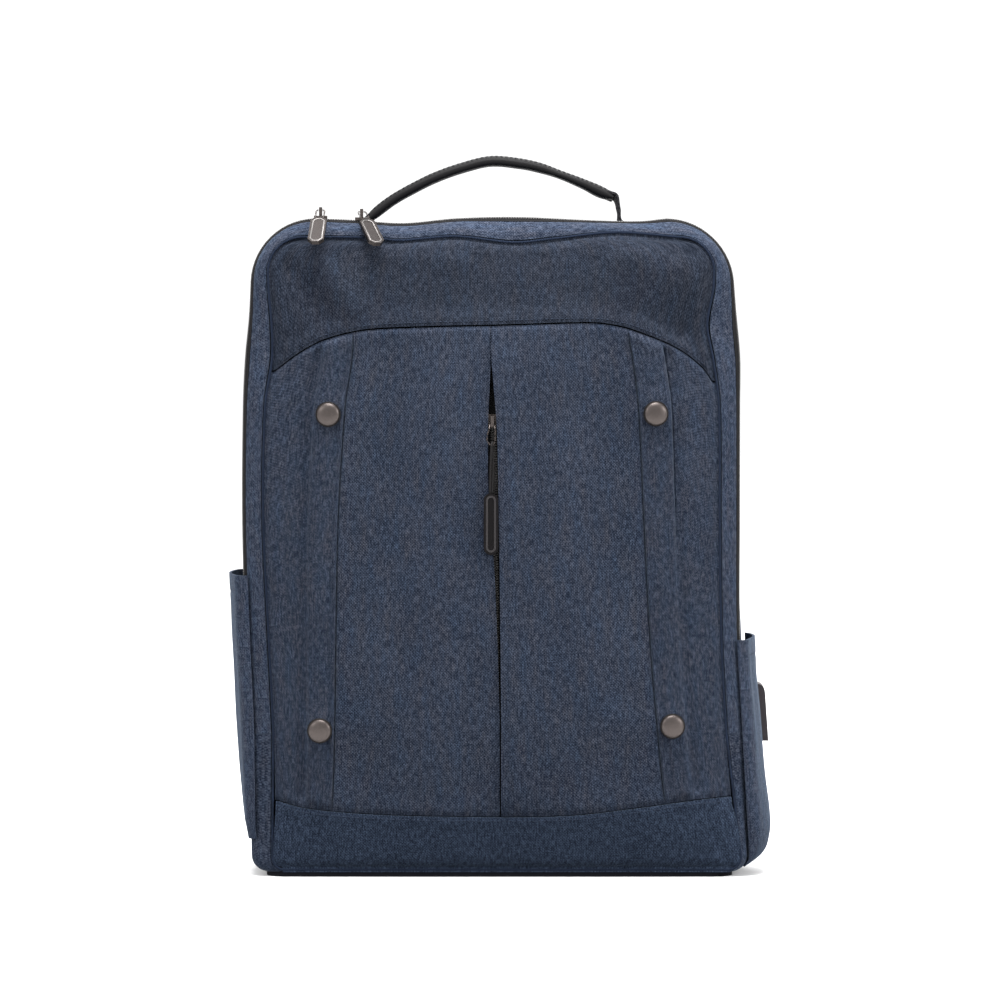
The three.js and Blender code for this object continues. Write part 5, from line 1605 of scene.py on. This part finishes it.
class BACKPACK_OT_pockets(bpy.types.Operator):
    """Open side pockets with their hems"""
    bl_idname = "backpack.pockets"
    bl_label = "Side pockets"

    def execute(self, context):
        lines = []
        off = POCKET_WALL + GAP * 2
        for pocket in POCKETS:
            rows = []
            for i in range(91):
                up = (i / 90) ** 1.25
                rows.append([pocket_point(pocket, (1 - math.cos(math.pi * j / 56)) / 2, up, off)
                             for j in range(57)])
            name = "side_pocket_" + pocket["side"]
            piece = cloth_piece(name + "_cloth", rows, POCKET_WALL, "cloth")
            sign = -1 if pocket["side"] == "left" else 1
            share = 1 - (POCKET_HEM - 1.2) / (pocket["top"] - pocket["foot"])
            hem = [pocket_point(pocket, 0.04 + 0.92 * k / 60, share, off) for k in range(61)]
            lines.append((hem, [Vector((sign, 0, 0.02))] * 61))
        sew("pocket_stitches", lines)
        return {"FINISHED"}


SNAP_PROFILE = [
    {"out": 1.0, "up": 0.0},
    {"out": 1.0, "up": 0.12},
    {"out": 0.98, "up": 0.2},
    {"out": 0.945, "up": 0.2},
    {"out": 0.93, "up": 0.14},
    {"out": 0.915, "up": 0.3},
    {"out": 0.88, "up": 0.46},
    {"out": 0.78, "up": 0.66},
    {"out": 0.62, "up": 0.83},
    {"out": 0.42, "up": 0.94},
    {"out": 0.2, "up": 0.99},
]
SNAP_RIM = 0.93


class BACKPACK_OT_snaps(bpy.types.Operator):
    """Four domed snaps on the pleats"""
    bl_idname = "backpack.snaps"
    bl_label = "Snaps"

    def execute(self, context):
        for snap in SNAPS:
            across, z = snap_place(snap)
            normal = front_normal(across, z)
            seat = front_point(across, z) + normal * (PLEAT_HEIGHT + GAP)
            deselect()
            bpy.ops.mesh.primitive_circle_add(vertices=48, radius=SNAP_RADIUS * MM, fill_type="NGON")
            piece = context.object
            piece.name = snap["name"] + "_cap"
            bpy.ops.object.mode_set(mode="EDIT")
            bpy.ops.mesh.select_all(action="SELECT")
            for below, above in zip(SNAP_PROFILE, SNAP_PROFILE[1:]):
                rise = (above["up"] - below["up"]) * SNAP_HEIGHT * MM
                bpy.ops.mesh.extrude_region_move(TRANSFORM_OT_translate={"value": (0, 0, rise)})
                ratio = above["out"] / below["out"]
                middle = (0, 0, above["up"] * SNAP_HEIGHT * MM)
                bpy.ops.transform.resize(value=(ratio, ratio, 1), center_override=middle)
            bpy.ops.mesh.inset(thickness=0.8 * MM)
            bpy.ops.mesh.select_all(action="SELECT")
            bpy.ops.mesh.normals_make_consistent(inside=False)
            bpy.ops.object.mode_set(mode="OBJECT")
            turn = Vector((0, 0, 1)).rotation_difference(normal).to_matrix().to_4x4()
            piece.matrix_world = Matrix.Translation(seat * MM) @ turn
            bpy.ops.object.transform_apply(location=True, rotation=True, scale=True)
            smooth_shade(piece, 60)
            finish_piece(piece, "metal", snap["name"])
            piece.data.materials.append(material("metal_dark"))
            for face in piece.data.polygons:
                if (face.center - seat * MM).length > SNAP_RADIUS * SNAP_RIM * MM:
                    face.material_index = 1
        return {"FINISHED"}


HARD_PIECES = {
    "zip_slider_left": {"look": "metal", "bevel": 0.35},
    "zip_slider_right": {"look": "metal", "bevel": 0.35},
    "centre_slider": {"look": "metal", "bevel": 0.35},
    "pull_tab_left": {"look": "tab_face", "bevel": 0.22},
    "pull_tab_right": {"look": "tab_face", "bevel": 0.22},
    "puller_grip": {"look": "rubber", "bevel": 0.35},
    "cable_port": {"look": "port", "bevel": 1.1},
    "strap_buckle_left": {"look": "plastic", "bevel": 0.8},
    "strap_buckle_right": {"look": "plastic", "bevel": 0.8},
    "base_panel": {"look": "base", "bevel": 0.9},
}
WIRE_PIECES = ["pull_link_left", "pull_link_right", "puller_ring"]


# Raised rims on the flat faces of the pull tabs and the grip. width and rise are in millimetres
RIMS = [
    {"node": "pull_tab_left", "body": "pull_left",
     "look": "metal_rim", "slot": "gunmetal", "width": 1.1, "rise": 0.35},
    {"node": "pull_tab_right", "body": "pull_right",
     "look": "metal_rim", "slot": "gunmetal", "width": 1.1, "rise": 0.35},
    {"node": "puller_grip", "body": BAG,
     "look": "grip_rim", "slot": "rubber_dark", "width": 1.3, "rise": 0.45},
]


def face_outline(node):
    """Outline and normal of a node's largest flat face towards the front, in millimetres."""
    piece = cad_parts[node]
    mesh = bmesh.new()
    mesh.from_mesh(piece.data)
    bmesh.ops.remove_doubles(mesh, verts=mesh.verts, dist=0.02 * MM)
    mesh.normal_update()
    forward = max((face for face in mesh.faces if face.normal.y < -0.3), key=lambda face: face.calc_area())
    level = forward.calc_center_median().dot(forward.normal)
    flat = [face for face in mesh.faces if face.normal.dot(forward.normal) > 0.999
            and abs(face.calc_center_median().dot(forward.normal) - level) < 0.05 * MM]
    chosen = set(flat)
    following = {}
    for face in flat:
        for loop in face.loops:
            if not any(other in chosen for other in loop.edge.link_faces if other is not face):
                following[loop.vert.index] = loop.link_loop_next.vert.index
    mesh.verts.ensure_lookup_table()
    first = max(following, key=lambda index: mesh.verts[index].co.z)
    order = [first]
    while following[order[-1]] != first:
        order.append(following[order[-1]])
    outline = [mesh.verts[index].co / MM for index in order]
    normal = forward.normal.copy()
    mesh.free()
    return outline, normal


def inset_outline(outline, normal, distance, rise):
    """The outline moved inwards by a distance and off the face by a rise."""
    moved = []
    for i, point in enumerate(outline):
        before = (point - outline[i - 1]).normalized()
        after = (outline[(i + 1) % len(outline)] - point).normalized()
        first = normal.cross(before)
        second = normal.cross(after)
        inwards = (first + second) / (1 + first.dot(second))
        moved.append(point + inwards * distance + normal * rise)
    return moved


def add_rim(facts):
    outline, normal = face_outline(facts["node"])
    width = facts["width"]
    rise = facts["rise"]
    steps = ((-0.15, -0.5), (-0.15, rise * 0.5), (0.1, rise), (width - 0.2, rise), (width, rise * 0.7),
             (width + 0.1, -0.2))
    rings = [inset_outline(outline, normal, inset, up) for inset, up in steps]
    centre = sum(outline, Vector()) / len(outline)
    piece = grid_mesh(facts["node"] + "_rim", rings, centre - normal * 5, closed=True)
    mesh = bmesh.new()
    mesh.from_mesh(piece.data)
    ends = [edge for edge in mesh.edges if edge.is_boundary]
    bmesh.ops.bridge_loops(mesh, edges=ends)
    bmesh.ops.recalc_face_normals(mesh, faces=mesh.faces)
    mesh.to_mesh(piece.data)
    mesh.free()
    smooth_shade(piece, 40)
    finish_piece(piece, facts["look"], None, facts["body"])


def dress(node, look):
    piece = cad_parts[node]
    piece.data.materials.clear()
    piece.data.materials.append(material(look))
    return piece


class BACKPACK_OT_fittings(bpy.types.Operator):
    """Rounded edges and finishes on the fittings that keep their CAD shape"""
    bl_idname = "backpack.fittings"
    bl_label = "Fittings"

    def execute(self, context):
        for node, facts in HARD_PIECES.items():
            piece = dress(node, facts["look"])
            bevel = piece.modifiers.new("Bevel", "BEVEL")
            bevel.width = facts["bevel"] * MM
            bevel.segments = 3
            bevel.limit_method = "ANGLE"
            bevel.angle_limit = math.radians(28)
            bevel.harden_normals = False
            smooth = piece.modifiers.new("Normals", "WEIGHTED_NORMAL")
            smooth.keep_sharp = True
        for node in WIRE_PIECES:
            piece = dress(node, "metal")
            rounding = piece.modifiers.new("Subdivision", "SUBSURF")
            rounding.levels = 2
            rounding.render_levels = 2
        for facts in RIMS:
            add_rim(facts)
        return {"FINISHED"}


HANDLE_STRAP_WIDTH = HANDLE_WIDTH * 0.85


class BACKPACK_OT_handle(bpy.types.Operator):
    """Padded top handle between two sewn straps"""
    bl_idname = "backpack.handle"
    bl_label = "Handle"

    def execute(self, context):
        y = depth_y(HANDLE_DEPTH, BODY_HEIGHT)
        seat = top_at(HANDLE_DEPTH, 0)
        steps = 110
        start = HANDLE_LINE[0]["along"]
        end = HANDLE_LINE[-1]["along"]
        path = []
        thicknesses = []
        widths = []
        for i in range(steps + 1):
            share = i / steps
            along = lerp(start, end, share)
            rise = read_table(HANDLE_LINE, "rise", along) * HANDLE_RISE
            path.append(Vector((along * HANDLE_HALF_SPAN, y, seat + rise)))
            tip = smooth(share, -0.012, 0.03) * smooth(1 - share, -0.012, 0.03)
            thick = read_table(HANDLE_LINE, "thick", along) * HANDLE_THICKNESS
            thicknesses.append(thick * (0.55 + 0.45 * tip) + 0.12 * ripple(along * 80, 0, 0, 6, 15))
            widths.append(HANDLE_WIDTH * (0.9 + 0.1 * tip))
        across = [Vector((0, 1, 0))] * len(path)
        rows = strap_rows(path, across, widths, thicknesses, 2.9, 40)
        piece = closed_piece("handle_grip_pad", rows, "handle", "handle_grip")

        lines = []
        for side in (-1, 1):
            points = []
            lifts = []
            for i in range(4, steps - 3):
                run = (path[i + 1] - path[i - 1]).normalized()
                lift = run.cross(Vector((0, -1, 0)))
                lift = -lift if lift.z < 0 else lift
                sideways = Vector((0, side * HANDLE_WIDTH * 0.36, 0))
                points.append(path[i] + sideways + lift * thicknesses[i] * 0.47)
                lifts.append(lift)
            lines.append((points, lifts))
        sew("handle_stitches", lines, "black_thread")

        for side, sign, last, before in (("left", -1, path[0], path[2]), ("right", 1, path[-1], path[-3])):
            run = (last - before).normalized()
            foot_x = sign * (abs(last.x) + 4.5)

            def lie(x):
                return top_at(HANDLE_DEPTH, x) + HANDLE_STRAP_WALL / 2 + GAP * 4

            middle_x = foot_x + sign * HANDLE_TAB_LENGTH * 0.6
            end_x = foot_x + sign * HANDLE_TAB_LENGTH
            drop = last.z - lie(foot_x)
            route = [
                last - run * 5,
                last - run * 1.5,
                last + run * 1.6,
                Vector((lerp(last.x, foot_x, 0.8), y, last.z - drop * 0.42)),
                Vector((foot_x, y, last.z - drop * 0.8)),
                Vector((foot_x + sign * 3, y, lie(foot_x + sign * 3) + 0.6)),
                Vector((middle_x, y, lie(middle_x))),
                Vector((end_x, y, lie(end_x))),
            ]
            strap = smooth_path(route, 60)
            count = len(strap)
            reach = HANDLE_WIDTH * 0.4 / BODY_DEPTH
            slope = top_at(HANDLE_DEPTH + reach, foot_x) - top_at(HANDLE_DEPTH - reach, foot_x)
            lying = Vector((0, reach * 2 * BODY_DEPTH, slope)).normalized()
            rows = strap_rows(strap, [lying] * count, [HANDLE_STRAP_WIDTH] * count,
                              [HANDLE_STRAP_WALL] * count, 7, 44)
            name = "handle_strap_" + side
            piece = closed_piece(name + "_cloth", rows, "webbing", name)
        return {"FINISHED"}


# Heights of the back panel's level channels and their depths, in millimetres
CHANNEL_HEIGHTS = (88, 164, 240, 316)
UPRIGHT_CHANNEL_DEPTH = 2.6
LEVEL_CHANNEL_DEPTH = 1.9
BACK_EDGE_DEPTH = 1.2


def back_relief(x, z):
    """Sewn channels of the back panel: an upright air channel and level ones over two pads."""
    half = section_half_width(BACK, "left" if x < 0 else "right", z, BACK_INSET)
    across = abs(x) / half
    channel = math.exp(-(x / 15) ** 4)
    rounds = 0.0
    for height in CHANNEL_HEIGHTS:
        slope = 0.12 * (abs(x) - 60)
        rounds = max(rounds, math.exp(-((z - height - slope) / 4.2) ** 2))
    inside = smooth(across, 0.12, 0.2) * (1 - smooth(across, 0.86, 0.93))
    edge = math.exp(-((across - 0.93) / 0.014) ** 2)
    upright = smooth(z, 26, 44) * smooth(372 - z, 0, 18)
    pads = UPRIGHT_CHANNEL_DEPTH * channel * upright + LEVEL_CHANNEL_DEPTH * rounds * inside
    return -pads - BACK_EDGE_DEPTH * edge - 0.25 * (0.5 + 0.5 * ripple(x, 0, z, 18, 17))


class BACKPACK_OT_back(bpy.types.Operator):
    """Padded back panel with its sewn channels"""
    bl_idname = "backpack.back"
    bl_label = "Back panel"

    def execute(self, context):
        across_steps = 150
        outer = []
        inner = []
        back = BODY_DEPTH / 2 + GAP
        heights = rim_heights(BACK, BACK_INSET)
        top = BACK["top"] * BODY_HEIGHT - BACK_INSET
        between = [lerp(heights[FOOT_STEPS], heights[-TOP_STEPS - 1], i / 170) for i in range(171)]
        levels = sorted(set(heights[:FOOT_STEPS + 1] + heights[-TOP_STEPS - 1:] + between))
        for z in levels:
            outer_row = []
            inner_row = []
            for j in range(across_steps + 1):
                place = lerp(-1, 1, j / across_steps)
                x = place * section_half_width(BACK, "left" if place < 0 else "right", z, BACK_INSET)
                close = min(1 - abs(place), (z - FOOT_HEIGHT) / 60, (top - z) / 60 + 0.004)
                thin = 1 - smooth(close, 0, 0.04)
                y = lerp(back_y(x, z) + back_relief(x, z) * (1 - thin), back + 1.2, thin * 0.7)
                outer_row.append(Vector((x, y, z)))
                inner_row.append(Vector((x, back, z)))
            outer.append(outer_row)
            inner.append(inner_row)
        rows = [a + b[::-1] for a, b in zip(outer, inner)]
        piece = closed_piece("back_panel_pad", rows, "mesh", "back_panel", 60)
        return {"FINISHED"}


SIDES = {"left": -1, "right": 1}


def strap_line(sign, steps):
    """Middle line, widths and thicknesses of a shoulder strap."""
    path = []
    widths = []
    thicknesses = []
    for i in range(steps + 1):
        down = i / steps
        x = sign * lerp(STRAP_TOP_PLACE, STRAP_END_PLACE, read_table(STRAP_LINE, "across", down))
        z = lerp(STRAP_TOP_HEIGHT, STRAP_END_HEIGHT, down)
        lie = STRAP_THICKNESS / 2 + GAP * 4
        off = read_table(STRAP_LINE, "off", down) * STRAP_STAND_OFF
        path.append(Vector((x, back_y(x, z) + lie + off, z)))
        widths.append(read_table(STRAP_LINE, "width", down) * STRAP_WIDTH)
        thicknesses.append(STRAP_THICKNESS * lerp(0.55, 1, smooth(1 - down, 0, 0.035)))
    return path, widths, thicknesses


BINDING_RADIUS = 1.3


class BACKPACK_OT_straps(bpy.types.Operator):
    """Padded shoulder straps with bound edges"""
    bl_idname = "backpack.straps"
    bl_label = "Shoulder straps"

    def execute(self, context):
        lines = []
        for side, sign in SIDES.items():
            path, widths, thicknesses = strap_line(sign, 130)
            across = [Vector((1, 0, 0))] * len(path)
            narrow = [width - 1.6 for width in widths]
            rows = strap_rows(path, across, narrow, thicknesses, 3.4, 56)
            name = "shoulder_strap_" + side
            piece = closed_piece(name + "_pad", rows, "strap_cloth", name)
            for edge in (-1, 1):
                binding = []
                seam = []
                lifts = []
                last = len(path) - 1
                for i, point in enumerate(path):
                    run = (path[min(i + 1, last)] - path[max(i - 1, 0)]).normalized()
                    level = (Vector((1, 0, 0)) - run * run.x).normalized()
                    lift = run.cross(level)
                    lift = -lift if lift.y < 0 else lift
                    binding.append(point + level * edge * (widths[i] / 2 - BINDING_RADIUS))
                    seam.append(point + level * edge * (widths[i] / 2 - 6.5) + lift * thicknesses[i] * 0.475)
                    lifts.append(lift)
                suffix = "inner" if edge * sign < 0 else "outer"
                tube_piece(f"strap_binding_{side}_{suffix}", binding, BINDING_RADIUS, "webbing", None)
                lines.append((seam[4:-4], lifts[4:-4]))
        sew("strap_stitches", lines, "black_thread")
        return {"FINISHED"}


class BACKPACK_OT_webbing(bpy.types.Operator):
    """Webbing loops and tails through the buckles, and the corner tabs that hold them"""
    bl_idname = "backpack.webbing"
    bl_label = "Webbing"

    def execute(self, context):
        for side, sign in SIDES.items():
            path, _, _ = strap_line(sign, 14)
            end = path[-1]
            y = end.y
            buckle_top = end.z - BUCKLE_BAR * 1.9
            window = (BUCKLE_LENGTH - BUCKLE_BAR * 3) / 2
            middle_bar = buckle_top - BUCKLE_BAR - window - BUCKLE_BAR / 2
            clear = BUCKLE_THICKNESS / 2 + WEBBING_WALL / 2 + GAP * 3
            bar_foot = buckle_top - BUCKLE_BAR - WEBBING_WALL / 2 - GAP * 3
            hang = end.z - GAP * 2 - WEBBING_WALL / 2
            loop = [
                (end.x, clear, hang), (end.x, clear, buckle_top - BUCKLE_BAR * 0.6),
                (end.x, clear * 0.55, bar_foot + 0.3), (end.x, 0, bar_foot),
                (end.x, -clear * 0.55, bar_foot + 0.3),
                (end.x, -clear, buckle_top - BUCKLE_BAR * 0.6), (end.x, -clear, hang),
            ]
            self.strap("strap_loop_" + side, loop, y, 40, "strap_buckle_" + side)

            tab_x = sign * CORNER_TAB_PLACE
            tab_seat = back_y(tab_x * 0.9, CORNER_TAB_HEIGHT) + GAP
            tab_wall = WEBBING_WALL * 1.5
            tab_y = tab_seat + tab_wall + WEBBING_WALL / 2 + GAP * 2 - y
            bar_top = middle_bar + BUCKLE_BAR / 2 + WEBBING_WALL / 2 + GAP * 4
            foot_bar = buckle_top - BUCKLE_LENGTH
            tail = [
                (tab_x + sign * 2, tab_y, CORNER_TAB_HEIGHT - 4),
                (tab_x, tab_y, CORNER_TAB_HEIGHT + 4),
                (lerp(tab_x, end.x, 0.3), lerp(tab_y, -clear, 0.35),
                 lerp(CORNER_TAB_HEIGHT, foot_bar, 0.35)),
                (lerp(tab_x, end.x, 0.75), lerp(tab_y, -clear, 0.85),
                 lerp(CORNER_TAB_HEIGHT, foot_bar, 0.75)),
                (end.x, -clear, foot_bar),
                (end.x, -clear, middle_bar + BUCKLE_BAR * 0.2),
                (end.x, -clear * 0.75, bar_top - WEBBING_WALL * 0.4),
                (end.x, 0, bar_top + WEBBING_WALL * 0.2),
                (end.x, clear * 0.75, bar_top - WEBBING_WALL * 0.4),
                (end.x, clear, middle_bar + BUCKLE_BAR * 0.2),
                (end.x, clear * 1.05, foot_bar),
                (end.x, clear * 1.3, foot_bar - WEBBING_TAIL),
            ]
            self.strap("strap_webbing_" + side, tail, y, 150, "strap_buckle_" + side)

            rows = []
            for i in range(13):
                share = i / 12
                drop = CORNER_TAB_HEIGHT * 0.75 * share
                left = -WEBBING_WIDTH * lerp(0.6, 0.2, share)
                right = WEBBING_WIDTH * lerp(0.6, 0.9, share)
                rows.append([Vector((tab_x + sign * lerp(left, right, j / 16), tab_seat + tab_wall,
                                     CORNER_TAB_HEIGHT * 1.2 - drop)) for j in range(17)])
            name = "corner_tab_" + side
            piece = cloth_piece(name + "_cloth", rows, tab_wall, "strap_cloth")
        return {"FINISHED"}

    def strap(self, name, places, y, steps, buckle):
        """Flat webbing along places given with their distance from y."""
        path = smooth_path([Vector((x, y + off, z)) for x, off, z in places], steps)
        count = len(path)
        rows = strap_rows(path, [Vector((1, 0, 0))] * count, [WEBBING_WIDTH] * count,
                          [WEBBING_WALL] * count, 8, 40)
        piece = closed_piece(name + "_cloth", rows, "webbing", name)


PIECES = [
    ("stage", "Stage"),
    ("cord", "Puller cord"),
    ("front", "Front"),
    ("piping", "Front piping"),
    ("gussets", "Gussets"),
    ("zips", "Zips"),
    ("pockets", "Side pockets"),
    ("snaps", "Snaps"),
    ("fittings", "Fittings"),
    ("handle", "Handle"),
    ("back", "Back panel"),
    ("straps", "Shoulder straps"),
    ("webbing", "Webbing"),
]


class BACKPACK_PT_pieces(bpy.types.Panel):
    """Sizes, colours and pieces of the backpack"""
    bl_idname = "BACKPACK_PT_pieces"
    bl_label = "Laptop Backpack"
    bl_space_type = "VIEW_3D"
    bl_region_type = "UI"
    bl_category = "Backpack"

    def draw(self, context):
        for group in (context.scene.backpack_sizes, context.scene.backpack_colours):
            for name in group.bl_rna.properties.keys():
                if name not in ("rna_type", "name"):
                    self.layout.prop(group, name)
        for piece, label in PIECES:
            self.layout.operator("backpack." + piece, text=label)


CLASSES = (
    BackpackSizes,
    BackpackColours,
    BACKPACK_OT_stage,
    BACKPACK_OT_cord,
    BACKPACK_OT_front,
    BACKPACK_OT_piping,
    BACKPACK_OT_gussets,
    BACKPACK_OT_zips,
    BACKPACK_OT_pockets,
    BACKPACK_OT_snaps,
    BACKPACK_OT_fittings,
    BACKPACK_OT_handle,
    BACKPACK_OT_back,
    BACKPACK_OT_straps,
    BACKPACK_OT_webbing,
    BACKPACK_PT_pieces,
)


def register():
    for cls in CLASSES:
        bpy.utils.register_class(cls)
    bpy.types.Scene.backpack_sizes = PointerProperty(type=BackpackSizes)
    bpy.types.Scene.backpack_colours = PointerProperty(type=BackpackColours)


def unregister():
    del bpy.types.Scene.backpack_colours
    del bpy.types.Scene.backpack_sizes
    for cls in reversed(CLASSES):
        bpy.utils.unregister_class(cls)


def main():
    register()
    deselect()
    for piece, _ in PIECES:
        getattr(bpy.ops.backpack, piece)()


if __name__ == "__main__":
    main()
